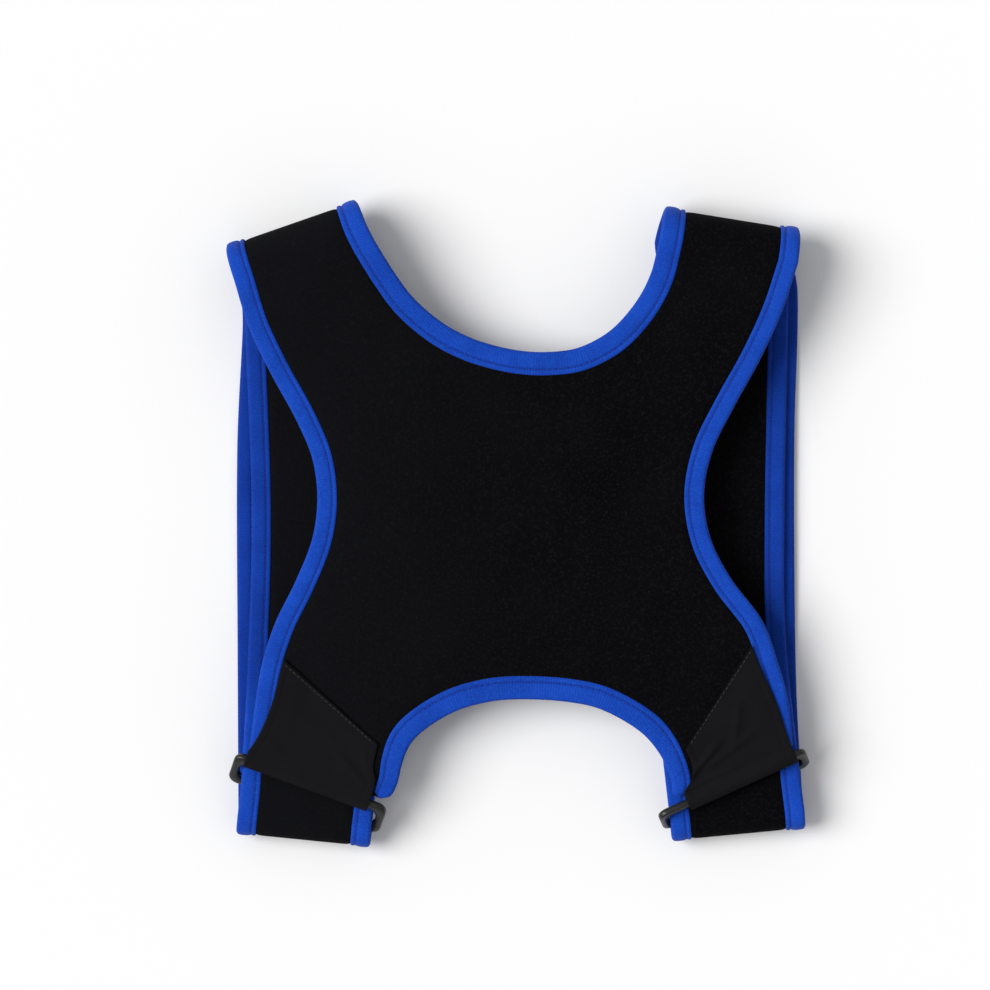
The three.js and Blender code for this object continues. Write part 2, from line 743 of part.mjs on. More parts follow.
// Names, colours and places
const group = new THREE.Group();

function addPiece(name, geometry, look) {
  const mesh = new THREE.Mesh(geometry, new THREE.MeshStandardMaterial(look));
  mesh.name = name;
  group.add(mesh);
  return mesh;
}

function place(mesh, position, first, second) {
  const third = first.clone().cross(second);
  mesh.quaternion.setFromRotationMatrix(new THREE.Matrix4().makeBasis(first, second, third));
  mesh.position.copy(position);
}

const neoprene = { color: 0x0c0c10, roughness: 0.9, metalness: 0 };
const tape = { color: 0x1d49c4, roughness: 0.8, metalness: 0 };
const fabric = { color: 0x1c1b20, roughness: 0.85, metalness: 0 };
const plastic = { color: 0x101012, roughness: 0.35, metalness: 0 };
const hooks = { color: 0x0a0a0c, roughness: 0.7, metalness: 0 };

addPiece('back_panel', backPanel(), neoprene);
addPiece('binding_neck', binding(neckEdge), tape);
addPiece('binding_arch', binding(archEdge), tape);
for (const edge of edges) {
  const { side, strap } = edge;
  addPiece(`shoulder_strap_${side.name}`, shoulderStrap(edge), neoprene);
  addPiece(`binding_armhole_${side.name}`, binding(edge.outer), tape);
  addPiece(`gusset_${side.name}`, gusset(edge), fabric);

  const tilt = radians(side.ringTilt);
  const ringUp = side.barUp.clone().multiplyScalar(Math.cos(tilt)).addScaledVector(up, Math.sin(tilt));
  place(addPiece(`ring_${side.name}`, ringPlate(), plastic),
    step(side.bar, ringUp, -barPitch / 2), side.barLine, ringUp);

  const tabWidth = strapWidth - 2 * (tapeWidth + tabSideGap);
  const end = strap[strap.length - 1];
  const before = strap[strap.length - 2];
  const ahead = end.middle.clone().sub(before.middle).setZ(0).normalize();
  const lift = foamHalf + clearance + tabThickness / 2;
  place(addPiece(`hook_tab_${side.name}`,
    plate(roundedRectangle(THREE.Shape, tabWidth, tabLength, tabCorner), tabThickness, 0, 4), hooks),
  step(end.middle, ahead, -tabEndGap - tabLength / 2, up, lift), ahead.clone().cross(up), ahead);
}

// The origin is at table level, in the middle of the footprint.
const box = new THREE.Box3().setFromObject(group);
const middle = box.getCenter(new THREE.Vector3());
group.position.set(-middle.x, -middle.y, -box.min.z);

export default group;
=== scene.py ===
"""Looks of the posture corrector: neoprene panel and straps, blue edge tape, gussets, rings and hook
tabs, lying flat on a pale table and seen from straight above.

Lengths are millimetres in the frame of the spine line until mesh_piece() puts them in the row frame."""
import math

import bpy
import numpy as np
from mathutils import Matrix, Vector


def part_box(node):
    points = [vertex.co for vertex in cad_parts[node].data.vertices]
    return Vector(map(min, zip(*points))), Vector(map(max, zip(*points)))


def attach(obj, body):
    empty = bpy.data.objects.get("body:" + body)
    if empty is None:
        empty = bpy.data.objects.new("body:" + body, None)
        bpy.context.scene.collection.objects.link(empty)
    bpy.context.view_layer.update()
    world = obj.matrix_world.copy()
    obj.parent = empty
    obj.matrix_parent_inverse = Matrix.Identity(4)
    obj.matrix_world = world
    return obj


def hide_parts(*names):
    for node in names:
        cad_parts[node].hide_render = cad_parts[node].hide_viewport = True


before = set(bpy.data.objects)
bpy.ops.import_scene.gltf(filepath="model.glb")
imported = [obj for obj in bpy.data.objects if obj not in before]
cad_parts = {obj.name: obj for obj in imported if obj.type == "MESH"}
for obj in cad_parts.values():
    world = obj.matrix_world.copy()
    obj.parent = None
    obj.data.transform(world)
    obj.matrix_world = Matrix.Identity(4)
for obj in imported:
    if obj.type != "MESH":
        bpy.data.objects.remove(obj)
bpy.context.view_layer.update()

CLEARANCE = 0.3
FOAM = 3.6
FOAM_HALF = FOAM / 2
PINCHED_HALF = 1.1
TAPE_HALF = 2.2
TAPE_WIDTH = 11.2
WIDE_TAPE = 13.2
FABRIC = 1.2
STRAP_WIDTH = 76.0
SHOULDER_SPAN = 248.0
SHOULDER_REACH = 170.0
HEM_REACH = 178.0
TAIL_REACH = 139.0
SHOULDER_HEIGHT = 38.0
DROP_LENGTH = 65.0
DROP_DELAY = 4.0
PANEL_HEIGHT = 30.5
PANEL_SAG = 2.0
NECK_BOTTOM = 96.0
ARCH_TOP = 99.0
ARMHOLE_DEPTH = 47.0
SHOULDER_FALL = 74.0
WING_WIDTH = 79.0
WING_FALL = 78.0
WING_GAP = 5.2
HEM_BELOW_BAR = 31.8
BAR_DROP = HEM_REACH - HEM_BELOW_BAR
BAR_HEIGHT = 27.0
BAR_WIDTH = 5.0
BAR_THICKNESS = 4.4
BAR_ROUNDING = 1.1
SLOT_WIDTH = 13.0
SLOT_SIDE_ROOM = 3.7
RING_END = 3.8
SLOT_CORNER = 2.0
MOULDED_CORNER = 5.2
MOULDED_SLOT_CORNER = 5.4
MOULDED_END = 4.9
ARCH_TAPE_END = 10.6
TAB_LENGTH = 36.0
TAB_THICKNESS = 1.5
TAB_CORNER = 6.0
TAB_END_GAP = 4.0
TAB_SIDE_GAP = 1.5

# Table, studio light and camera; the table is in metres
TABLE_SIZE, TABLE_GAP = 30, 0.0002
AMBIENT = 0.46
KEY = 2.82
KEY_SPREAD = 40
KEY_FROM = (-1.0, 0.1, 1.05)
SENSOR = 36
CAMERA_HEIGHT = 4000.0
CAMERA_FIELD = 562.3
CAMERA_OVER = (-18.76, 15.9)

SLACK = 0.1
WING_ROWS, CENTRE_ROWS, NECK_ROWS, FINE = 9, 5, 10, 5
FOLD_STEPS, HEM_STEPS, DOWN_STEPS, UP_STEPS = 36, 28, 70, 110
WING_SHARE, NECK_SHARE = 0.36, 0.52

REST_HEIGHT = TAPE_HALF
SETTLE = TAPE_HALF - FOAM_HALF
TAIL_HEIGHT = 3 * TAPE_HALF + CLEARANCE
SLOT_LENGTH = STRAP_WIDTH + 2 * SLOT_SIDE_ROOM
RING_LENGTH = SLOT_LENGTH + 2 * RING_END
SLEEVE_HALF = SLOT_LENGTH / 2 - SLOT_CORNER - CLEARANCE
BAR_PITCH = SLOT_WIDTH + BAR_WIDTH
BAR_REACH = math.hypot(BAR_WIDTH / 2 - BAR_ROUNDING, BAR_THICKNESS / 2 - BAR_ROUNDING) + BAR_ROUNDING
SLEEVE_RADIUS = BAR_REACH + CLEARANCE + FABRIC / 2 + SLACK
GUSSET_OFFSET = TAPE_HALF + CLEARANCE + FABRIC / 2
UP = np.array([0.0, 0.0, 1.0])

SIDES = [
    dict(name="left", hand=-1, fold_across=0.538, fold_up=0.996, fold_droop=19.2, fold_flare=0.06,
         fold_shift=0.01, hem_across=0.514, hem_down=1.008, hem_rise=5.7, bar_across=0.494,
         bar_down=1.002, bar_rise=20.0, ring_tilt=46.0, wing_out=0.494, wing_in=0.567,
         tail_across=0.495, tail_up=0.97, gusset_outer=56.0, gusset_inner=28.5, gusset_setback=2.6,
         sleeve_flare=1.2, gusset_ease=2.6,
         neckline=[(0.13, 0.032), (0.337, 0.113), (0.53, 0.244), (0.721, 0.457), (0.841, 0.669),
                   (0.943, 0.881)],
         armhole=[(0.1, 0.157), (0.2, 0.405), (0.3, 0.695), (0.38, 0.868), (0.465, 0.913),
                  (0.55, 0.836), (0.64, 0.621), (0.73, 0.357), (0.82, 0.181), (0.91, 0.082)],
         arch=[(0.201, 0.008), (0.489, 0.105), (0.705, 0.265), (0.838, 0.43), (0.903, 0.63),
               (0.939, 0.83)],
         down=[(0.1, -0.034), (0.34, 0.004), (0.7, 0.004)],
         up=[(0.33, -0.062), (0.58, -0.072), (0.95, -0.004)]),
    dict(name="right", hand=1, fold_across=0.461, fold_up=1.012, fold_droop=9.2, fold_flare=0.04,
         fold_shift=0.02, hem_across=0.481, hem_down=0.99, hem_rise=5.4, bar_across=0.463,
         bar_down=1.004, bar_rise=24.3, ring_tilt=66.0, wing_out=0.508, wing_in=0.435,
         tail_across=0.444, tail_up=1.03, gusset_outer=63.0, gusset_inner=23.5, gusset_setback=0.2,
         sleeve_flare=4.6, gusset_ease=1.7,
         neckline=[(0.13, 0.003), (0.348, 0.034), (0.55, 0.139), (0.684, 0.261), (0.84, 0.488),
                   (0.936, 0.714)],
         armhole=[(0.1, 0.185), (0.2, 0.442), (0.3, 0.754), (0.39, 1.0), (0.48, 1.094),
                  (0.57, 1.008), (0.65, 0.77), (0.74, 0.382), (0.82, 0.202), (0.91, 0.055)],
         arch=[(0.257, 0.025), (0.5, 0.103), (0.778, 0.328), (0.899, 0.52), (0.972, 0.716),
               (0.993, 0.814)],
         down=[(0.08, 0.04), (0.3, 0.0), (0.5, -0.022), (0.8, -0.03)],
         up=[(0.33, -0.1), (0.54, -0.086), (0.75, -0.05)]),
]


def smooth(value):
    t = np.clip(value, 0.0, 1.0)
    return t * t * (3 - 2 * t)


def unit(v):
    return v / np.linalg.norm(v, axis=-1, keepdims=True)


def dot(a, b):
    return (np.asarray(a) * np.asarray(b)).sum(-1)


def direction(degrees):
    """Directions in plan for an angle or an array of angles"""
    a = np.radians(np.asarray(degrees, float))
    return np.stack([np.cos(a), np.sin(a), np.zeros_like(a)], -1)


def angle_of(line):
    return math.degrees(math.atan2(line[1], line[0]))


def flat(points):
    p = np.array(points, float)
    p[..., 2] = 0
    return p


def column(values):
    return np.asarray(values, float)[..., None]


def read(at, places, values):
    """Vectors read between the places that they are given for"""
    return np.stack([np.interp(at, places, values[:, k]) for k in range(3)], -1)


class Course:
    """A centripetal Catmull-Rom curve in plan, read by its length"""

    SPAN_STEPS = 80
    LOOK = 0.004

    def __init__(self, points):
        p = flat(points)
        p = np.vstack([2 * p[0] - p[1], p, 2 * p[-1] - p[-2]])
        parts = []
        t = np.linspace(0, 1, self.SPAN_STEPS + 1)[:-1, None]
        for a, b, c, d in zip(p, p[1:], p[2:], p[3:]):
            ab, bc, cd = (math.sqrt(np.linalg.norm(q)) for q in (b - a, c - b, d - c))
            start = ((b - a) / ab - (c - a) / (ab + bc) + (c - b) / bc) * bc
            end = ((c - b) / bc - (d - b) / (bc + cd) + (d - c) / cd) * bc
            parts.append(b + start * t + (3 * (c - b) - 2 * start - end) * t ** 2
                         + (2 * (b - c) + start + end) * t ** 3)
        self.points = np.vstack([*parts, p[-2][None]])
        steps = np.linalg.norm(np.diff(self.points, axis=0), axis=1)
        self.along = np.concatenate([[0], np.cumsum(steps)])
        self.length = float(self.along[-1])

    def at(self, share):
        return read(np.clip(share, 0, 1) * self.length, self.along, self.points)

    def ahead(self, share):
        share = np.asarray(share, float)
        return unit(self.at(share + self.LOOK) - self.at(share - self.LOOK))


def bent_course(start, end, table, hand, through=()):
    """A course with bends at shares of its span, each so many strap widths outward"""
    span = flat(end) - flat(start)
    aside = unit(np.array([abs(span[1]), -np.sign(span[1]) * span[0], 0.0])) * hand
    bends = [flat(start + span * along + aside * outward * STRAP_WIDTH) for along, outward in table]
    return Course([flat(start), *through, *bends, flat(end)])


class Side:
    """The fold lines, the ring bar, the heights and the courses of one side"""

    def __init__(self, table):
        self.__dict__.update(table)
        hand = self.hand
        self.fold_line = direction(-hand * self.fold_droop)
        self.hem_line = direction(hand * self.hem_rise)
        self.bar_line = direction(hand * self.bar_rise)
        self.fold = np.array([hand * self.fold_across * SHOULDER_SPAN, self.fold_up * SHOULDER_REACH, 0])
        self.hem = np.array([hand * self.hem_across * SHOULDER_SPAN, -self.hem_down * HEM_REACH, 0])
        self.bar = np.array([hand * self.bar_across * SHOULDER_SPAN, -self.bar_down * BAR_DROP, BAR_HEIGHT])
        tilt = math.radians(self.ring_tilt)
        over_bar = BAR_HEIGHT - BAR_PITCH * math.sin(tilt) + BAR_REACH + CLEARANCE + TAPE_HALF + SLACK
        under_sleeve = BAR_HEIGHT - SLEEVE_RADIUS - FABRIC / 2 - CLEARANCE - TAPE_HALF
        self.rise = max(over_bar, under_sleeve)
        self.fold_out = np.cross(UP, self.fold_line)
        self.hem_out = np.cross(self.hem_line, UP)
        self.bar_up = np.cross(UP, self.bar_line)
        self.outward = self.bar_line * hand
        self.fold_radius = (SHOULDER_HEIGHT - REST_HEIGHT) / 2
        self.hem_radius = (self.rise - REST_HEIGHT) / 2
        self.bar_back = BAR_PITCH * math.cos(tilt)
        self.ring_up = self.bar_up * math.cos(tilt) + UP * math.sin(tilt)
        self.fold_foot = self.fold - self.fold_out * (self.fold_radius + FOAM_HALF)
        self.hem_foot = self.hem - self.hem_out * (self.hem_radius + FOAM_HALF)
        tail = np.array([hand * self.tail_across * SHOULDER_SPAN, self.tail_up * TAIL_REACH, 0])
        in_slot = flat(self.bar - self.bar_up * self.bar_back / 2)
        self.down_course = bent_course(self.fold_foot, self.hem_foot, self.down, hand)
        self.up_course = bent_course(self.hem_foot, tail, self.up, hand, [in_slot])


def half_across(course, share, line):
    """Half the strap's width along a line that crosses its course, square or not"""
    ahead = course.ahead(share)
    return STRAP_WIDTH / 2 / np.abs(ahead[..., 0] * line[..., 1] - ahead[..., 1] * line[..., 0])


LEFT, RIGHT = (Side(table) for table in SIDES)


def panel_level(x, y):
    """Height of the middle of the back panel over a place in plan"""
    x, y = np.asarray(x, float), np.asarray(y, float)
    levels = []
    point = np.stack([x, y, np.zeros_like(x)], -1)
    for side in (LEFT, RIGHT):
        from_fold = dot(side.fold - point, side.fold_out) - side.fold_radius - FOAM_HALF
        from_bar = dot(point - side.bar, side.bar_up) - WING_GAP
        lift = (SHOULDER_HEIGHT - PANEL_HEIGHT) * (1 - smooth(from_fold / SHOULDER_FALL))
        drop = (PANEL_HEIGHT - BAR_HEIGHT) * (1 - smooth(from_bar / WING_FALL))
        levels.append(PANEL_HEIGHT + lift - drop)
    sag = PANEL_SAG * (1 - smooth(np.hypot(x / ARMHOLE_DEPTH, y / NECK_BOTTOM) / 2))
    return np.where(x < 0, *levels) - sag


def panel_normal(points):
    """Normals of the back panel over places in plan, from its slopes across one millimetre"""
    x, y = points[..., 0], points[..., 1]
    slope_x = panel_level(x + 0.5, y) - panel_level(x - 0.5, y)
    slope_y = panel_level(x, y + 0.5) - panel_level(x, y - 0.5)
    return unit(np.stack([-slope_x, -slope_y, np.ones_like(slope_x)], -1))


def on_surface(points, extra=0.0):
    """The points raised to the middle of the back panel"""
    return flat(points) + UP * column(panel_level(points[..., 0], points[..., 1]) + extra)


class Stations:
    """Stations of a run: three vectors, then plain numbers, which are 0 where none is given"""

    def __init__(self, *values):
        n = len(values[0])
        for k, key in enumerate(self.KEYS):
            value = np.asarray(values[k] if k < len(values) else 0.0, float)
            self.__dict__[key] = np.broadcast_to(value, (n, 3) if k < 3 else (n,))

    def join(self, *others):
        out = object.__new__(type(self))
        for key in self.KEYS:
            out.__dict__[key] = np.concatenate([getattr(run, key) for run in (self, *others)])
        return out

    def pick(self, index):
        out = object.__new__(type(self))
        for key, value in self.__dict__.items():
            out.__dict__[key] = value[index]
        return out


class Rows(Stations):
    """Rows across a strap: middles, lines across, outer normals, half widths and the rest"""

    KEYS = ("middle", "line", "normal", "half", "settled", "wide", "proud")


def fold_rows(side):
    angle = np.linspace(0, math.pi, FOLD_STEPS + 1)
    centre = flat(side.fold_foot) + UP * (REST_HEIGHT + side.fold_radius)
    above = (1 + np.cos(angle)) / 2
    below = np.maximum(0, -np.cos(angle)) ** 2
    lower = half_across(side.down_course, 0.0, side.fold_line)
    half = STRAP_WIDTH / 2 * (1 + side.fold_flare * above) * (1 - below) + lower * below
    normal = side.fold_out * column(np.sin(angle)) + UP * column(np.cos(angle))
    middle = centre + normal * side.fold_radius
    middle = middle + side.fold_line * column(side.fold_shift * STRAP_WIDTH * side.hand * above)
    settled = smooth((angle / math.pi - 0.9) * 10)
    return Rows(middle, side.fold_line, normal, half, settled, above, np.sin(angle) ** 2)


def hem_rows(side):
    share = np.linspace(0, 1, HEM_STEPS + 1)
    angle = share * math.pi
    centre = flat(side.hem_foot) + UP * (REST_HEIGHT + side.hem_radius)
    lower = half_across(side.down_course, 1.0, side.hem_line)
    upper = half_across(side.up_course, 0.0, side.hem_line)
    normal = side.hem_out * column(np.sin(angle)) - UP * column(np.cos(angle))
    middle = centre + normal * side.hem_radius
    return Rows(middle, side.hem_line, normal, lower * (1 - share) + upper * share,
                1 - smooth(share * 8), 0, np.sin(angle) ** 2 * 0.25)


def down_rows(side):
    course = side.down_course
    share = np.concatenate([[CLEARANCE / course.length], (np.arange(1, DOWN_STEPS) / DOWN_STEPS) ** 1.3])
    turned, turning = smooth(share * 3), smooth(share * 5 - 4)
    angle = angle_of(side.fold_line) * (1 - turned) + angle_of(side.hem_line) * turning
    line = direction(angle)
    middle = course.at(share) + UP * REST_HEIGHT
    normal = np.broadcast_to(-UP, middle.shape)
    return Rows(middle, line, normal, half_across(course, share, line), 1)


def up_rows(side):
    course = side.up_course

    def level(point):
        past = dot(point - side.bar, side.bar_up) + side.bar_back - DROP_DELAY
        return side.rise - (side.rise - TAIL_HEIGHT) * smooth(past / DROP_LENGTH)

    crossing = HEM_BELOW_BAR / course.length
    share = (np.arange(1, UP_STEPS + 1) / UP_STEPS) ** 1.4
    to_bar, from_bar = smooth(share / crossing), smooth((share - crossing) * 4)
    angle = angle_of(side.hem_line) * (1 - to_bar) + angle_of(side.bar_line) * (to_bar - from_bar)
    line = direction(angle)
    point, ahead = course.at(share), course.ahead(share)
    slope = level(point + ahead * 0.5) - level(point - ahead * 0.5)
    normal = unit(np.cross(line, ahead + UP * column(slope)))
    return Rows(point + UP * column(level(point)), line, normal, half_across(course, share, line))


class Edge(Stations):
    """Stations along an edge: outermost points, normals, held lines, hold and tape width"""

    KEYS = ("point", "normal", "line", "hold", "width", "settled", "proud")
    def finish(self):
        """Works out the directions into the sheet, and the length run so far"""
        p = self.point
        along = np.empty_like(p)
        along[1:-1] = p[2:] - p[:-2]
        along[0], along[-1] = p[1] - p[0], p[-1] - p[-2]
        square = unit(np.cross(self.normal, along))
        square = square * column(np.where(dot(square, self.line) < 0, -1, 1))
        inward = square * column(1 - self.hold) + self.line * column(self.hold)
        inward = inward - self.normal * column(dot(inward, self.normal))
        self.inward = inward / column(dot(inward, square))
        steps = np.linalg.norm(np.diff(p, axis=0), axis=1)
        self.along = np.concatenate([[0], np.cumsum(steps)])
        return self


def strap_edge(rows, side, towards):
    width = np.full(len(rows.half), TAPE_WIDTH)
    if towards != side.hand:
        width = width + (WIDE_TAPE - TAPE_WIDTH) * rows.wide
    return Edge(rows.middle + rows.line * column(towards * rows.half), rows.normal,
                rows.line * -towards, 1, width, rows.settled, rows.proud)


def on_panel(point, line, hold, width=TAPE_WIDTH):
    return Edge(on_surface(point), panel_normal(point), line, hold, width)


def wing_end(side, share):
    return flat(side.bar + side.outward * share * WING_WIDTH + side.bar_up * WING_GAP)


class Half:
    """All edges of one half of the part"""

    def __init__(self, side):
        self.side = side
        hand = side.hand
        fold, down, hem, rise = fold_rows(side), down_rows(side), hem_rows(side), up_rows(side)
        self.rows = fold.join(down, hem, rise)
        inner = flat(fold.middle[0] - fold.line[0] * hand * fold.half[0])
        outer = flat(fold.middle[0] + fold.line[0] * hand * fold.half[0])
        wing_outer, wing_inner = wing_end(side, side.wing_out), wing_end(side, -side.wing_in)
        neck = [(inner[0] * a, NECK_BOTTOM + (inner[1] - NECK_BOTTOM) * u, 0) for a, u in side.neckline]
        waist = [outer + (wing_outer - outer) * d - np.array([hand * i * ARMHOLE_DEPTH, 0, 0])
                 for d, i in side.armhole]
        arch = [(wing_inner[0] * a, -ARCH_TOP + (wing_inner[1] + ARCH_TOP) * d, 0) for a, d in side.arch]
        self.neck_curve = Course([(0, NECK_BOTTOM, 0), *neck, inner])
        self.armhole_curve = Course([wing_outer, *waist[::-1], outer])
        self.arch_curve = Course([(0, -ARCH_TOP, 0), *arch, wing_inner])
        inward = -side.fold_line * hand
        index = np.arange(0, (WING_ROWS + CENTRE_ROWS + NECK_ROWS) * FINE) / FINE
        share = np.interp(index, [0, WING_ROWS, WING_ROWS + CENTRE_ROWS,
                                  WING_ROWS + CENTRE_ROWS + NECK_ROWS], [0, WING_SHARE, NECK_SHARE, 1])
        at_wing = 1 - smooth(index / 3)
        at_shoulder = smooth((index - (WING_ROWS + CENTRE_ROWS + NECK_ROWS) + 4) / 4)
        line = np.where(column(at_wing) > 0, -side.outward, inward)
        panel_outer = on_panel(self.armhole_curve.at(share), line, np.maximum(at_wing, at_shoulder))
        index = np.arange(1, NECK_ROWS * FINE) / FINE
        self.neck = on_panel(self.neck_curve.at(index / NECK_ROWS), -inward,
                             smooth((index - NECK_ROWS + 4) / 4), WIDE_TAPE)
        index = np.arange(1, WING_ROWS * FINE + 1) / FINE
        width = WIDE_TAPE - (WIDE_TAPE - ARCH_TAPE_END) * smooth(index / WING_ROWS * 2.5 - 1.5)
        self.arch = on_panel(self.arch_curve.at(index / WING_ROWS), side.outward,
                             smooth((index - WING_ROWS + 3) / 3), width)
        self.strap_outer = strap_edge(self.rows, side, hand)
        self.strap_inner = strap_edge(self.rows, side, -hand)
        self.panel_count = len(panel_outer.point)
        self.outer = panel_outer.join(self.strap_outer).finish()


HALVES = [Half(LEFT), Half(RIGHT)]


def middle_edge(y, line):
    return on_panel(np.array([[0.0, y, 0.0]]), line, 0, WIDE_TAPE)


def eased(edge, middle, reach=16, rounds=36, settle=True):
    """The edge with the bend at one of its stations rounded off, and laid on the panel again or not"""
    p = edge.point.copy()
    for _ in range(rounds):
        p[1:-1] += (p[:-2] + p[2:] - 2 * p[1:-1]) / 4
    share = smooth(1 - np.abs(np.arange(len(p)) - middle) / reach)
    near = share > 0
    moved = edge.point[near] + (p[near] - edge.point[near]) * share[near, None]
    if settle:
        edge.point[near], edge.normal[near] = on_surface(moved), panel_normal(moved)
    else:
        edge.point[near, :2] = moved[:, :2]
    return edge.finish()


# The neckline with both inner strap edges, and the arch, each from left to right across its middle
reverse = slice(None, None, -1)
left, right = HALVES
STRAP_ROWS = len(left.rows.half)
NECK_MIDDLE = STRAP_ROWS + len(left.neck.point)
ARCH_MIDDLE = len(left.arch.point)
neck_edge = eased(left.neck.join(left.strap_inner).pick(reverse).join(
    middle_edge(NECK_BOTTOM, np.array([0, -1.0, 0])), right.neck, right.strap_inner), NECK_MIDDLE)
for shoulder in (STRAP_ROWS - 1, len(neck_edge.point) - STRAP_ROWS):
    neck_edge = eased(neck_edge, shoulder, reach=8, settle=False)
arch_edge = eased(left.arch.pick(reverse).join(
    middle_edge(-ARCH_TOP, np.array([0, 1.0, 0])), right.arch), ARCH_MIDDLE)
arch_edge.to_end = np.minimum(arch_edge.along, arch_edge.along[-1] - arch_edge.along)
left.arch_done = arch_edge.pick(slice(0, ARCH_MIDDLE)).pick(reverse)
right.arch_done = arch_edge.pick(slice(ARCH_MIDDLE + 1, None))
left.neck_done = neck_edge.pick(slice(STRAP_ROWS, NECK_MIDDLE)).pick(reverse)
right.neck_done = neck_edge.pick(slice(NECK_MIDDLE + 1, -STRAP_ROWS))
left.inner_done = neck_edge.pick(slice(0, STRAP_ROWS)).pick(reverse)
right.inner_done = neck_edge.pick(slice(-STRAP_ROWS, None))

# The place of the spine frame in the row frame, from a ring, whose box is centred on it
low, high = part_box("ring_left")
SHIFT = np.array((low + high) / 2) * 1000 - (LEFT.bar - LEFT.ring_up * BAR_PITCH / 2)


def mesh_piece(name, points, faces, material, slot, replaces, uv):
    """A piece from points in millimetres of the spine frame, with a UV pair in millimetres for each"""
    mesh = bpy.data.meshes.new(name)
    mesh.from_pydata(((points + SHIFT) / 1000).tolist(), [], [tuple(int(i) for i in f) for f in faces])
    layer = mesh.uv_layers.new(name="Run")
    index = np.zeros(len(mesh.loops), np.int32)
    mesh.loops.foreach_get("vertex_index", index)
    layer.data.foreach_set("uv", (uv / 1000)[index].astype(np.float32).ravel())
    mesh.validate()
    mesh.update()
    mesh.polygons.foreach_set("use_smooth", [True] * len(mesh.polygons))
    mesh.materials.append(material)
    obj = bpy.data.objects.new(name, mesh)
    bpy.context.scene.collection.objects.link(obj)
    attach(obj, "root")
    if replaces:
        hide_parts(replaces)
    return obj


def grid_faces(rows, columns, wrap=False):
    """Quads of a grid of points, row by row"""
    i, j = np.meshgrid(np.arange(rows - 1), np.arange(columns if wrap else columns - 1), indexing="ij")
    k = (j + 1) % columns
    quads = np.stack([i * columns + j, i * columns + k, (i + 1) * columns + k, (i + 1) * columns + j], -1)
    return quads.reshape(-1, 4)


# Materials

class Graph:
    """A material, with short ways to make and link its nodes"""

    def __init__(self, name, base, roughness, specular, sheen=0.0, sheen_roughness=0.5):
        self.material = bpy.data.materials.new(name)
        self.material.use_nodes = True
        self.tree = self.material.node_tree
        self.shader = self.tree.nodes["Principled BSDF"]
        values = {"Base Color": (*base, 1), "Roughness": roughness, "Specular IOR Level": specular,
                  "Sheen Weight": sheen, "Sheen Roughness": sheen_roughness}
        for key, value in values.items():
            self.shader.inputs[key].default_value = value
        self.object = self.tree.nodes.new("ShaderNodeTexCoord").outputs["Object"]

    def finish(self, colour, roughness, normal):
        for key, value in (("Base Color", colour), ("Roughness", roughness), ("Normal", normal)):
            self.tree.links.new(value, self.shader.inputs[key])
        return self.material

    def node(self, kind, inputs, **settings):
        """A new node with its settings, and each input linked to a socket or set to a value"""
        node = self.tree.nodes.new("ShaderNode" + kind)
        for key, value in settings.items():
            setattr(node, key, value)
        for key, value in inputs.items():
            if isinstance(value, bpy.types.NodeSocket):
                self.tree.links.new(value, node.inputs[key])
            else:
                node.inputs[key].default_value = value
        return node

    def run(self):
        return self.node("UVMap", {}, uv_map="Run").outputs["UV"]

    def noise(self, vector, scale, detail=2.0, roughness=0.5):
        values = {"Vector": vector, "Scale": scale, "Detail": detail, "Roughness": roughness}
        return self.node("TexNoise", values).outputs["Fac"]

    def wave(self, vector, scale, along, distortion=0.0, phase=0.0):
        values = {"Vector": vector, "Scale": scale, "Distortion": distortion, "Phase Offset": phase}
        return self.node("TexWave", values, bands_direction=along).outputs["Fac"]

    def math(self, operation, a, b, c=0.0, clamp=False):
        return self.node("Math", {0: a, 1: b, 2: c}, operation=operation, use_clamp=clamp).outputs[0]

    def split(self, vector):
        return self.node("SeparateXYZ", {0: vector}).outputs

    def ramp(self, factor, stops):
        """A factor turned into the greys or colours given at its stops"""
        node = self.node("ValToRGB", {"Fac": factor})
        elements = node.color_ramp.elements
        while len(elements) < len(stops):
            elements.new(0.5)
        for element, (place, colour) in zip(elements, stops):
            element.position = place
            element.color = (*np.broadcast_to(colour, 3), 1)
        return node.outputs["Color"]

    def mix(self, factor, a, colour):
        """A socket's colour mixed with a plain colour"""
        return self.node("Mix", {0: factor, 6: a, 7: (*colour, 1)}, data_type="RGBA").outputs[2]

    def bump(self, height, strength, distance, under=None):
        values = {"Height": height, "Strength": strength, "Distance": distance}
        if under is not None:
            values["Normal"] = under
        return self.node("Bump", values).outputs["Normal"]


def neoprene_material():
    """Black jersey laminated on foam: a fine knit, faint lint, a cloudy tone, and painted light that makes
    it paler to the left
    """
    g = Graph("neoprene_jersey", (0.002, 0.002, 0.0028), 0.92, 0.035)
    run = g.run()
    cloud = g.noise(g.object, 26, 3)
    speck = g.noise(g.object, 640, 3, 0.65)
    knit = g.math("MULTIPLY", g.wave(run, 1100, "X"), g.wave(run, 850, "Y", 0.5))
    tone = g.ramp(cloud, [(0.3, (0.0014, 0.0014, 0.002)), (0.7, (0.0027, 0.0027, 0.0036))])
    linted = g.mix(g.ramp(speck, [(0.5, 0.0), (0.78, 0.9)]), tone, (0.0085, 0.0085, 0.0105))
    # Painted light: the jersey is lightened towards the left, the side the key light comes from
    painted_light_left = g.math("MULTIPLY_ADD", g.split(g.object)[0], -4.0, 0.3, clamp=True)
    colour = g.mix(g.ramp(painted_light_left, [(0.2, 0.0), (0.8, 0.55)]), linted, (0.0066, 0.0068, 0.0087))
    fine = g.bump(knit, 0.35, 0.00025)
    return g.finish(colour, g.math("MULTIPLY_ADD", cloud, 0.12, 0.84), g.bump(speck, 0.3, 0.0003, fine))


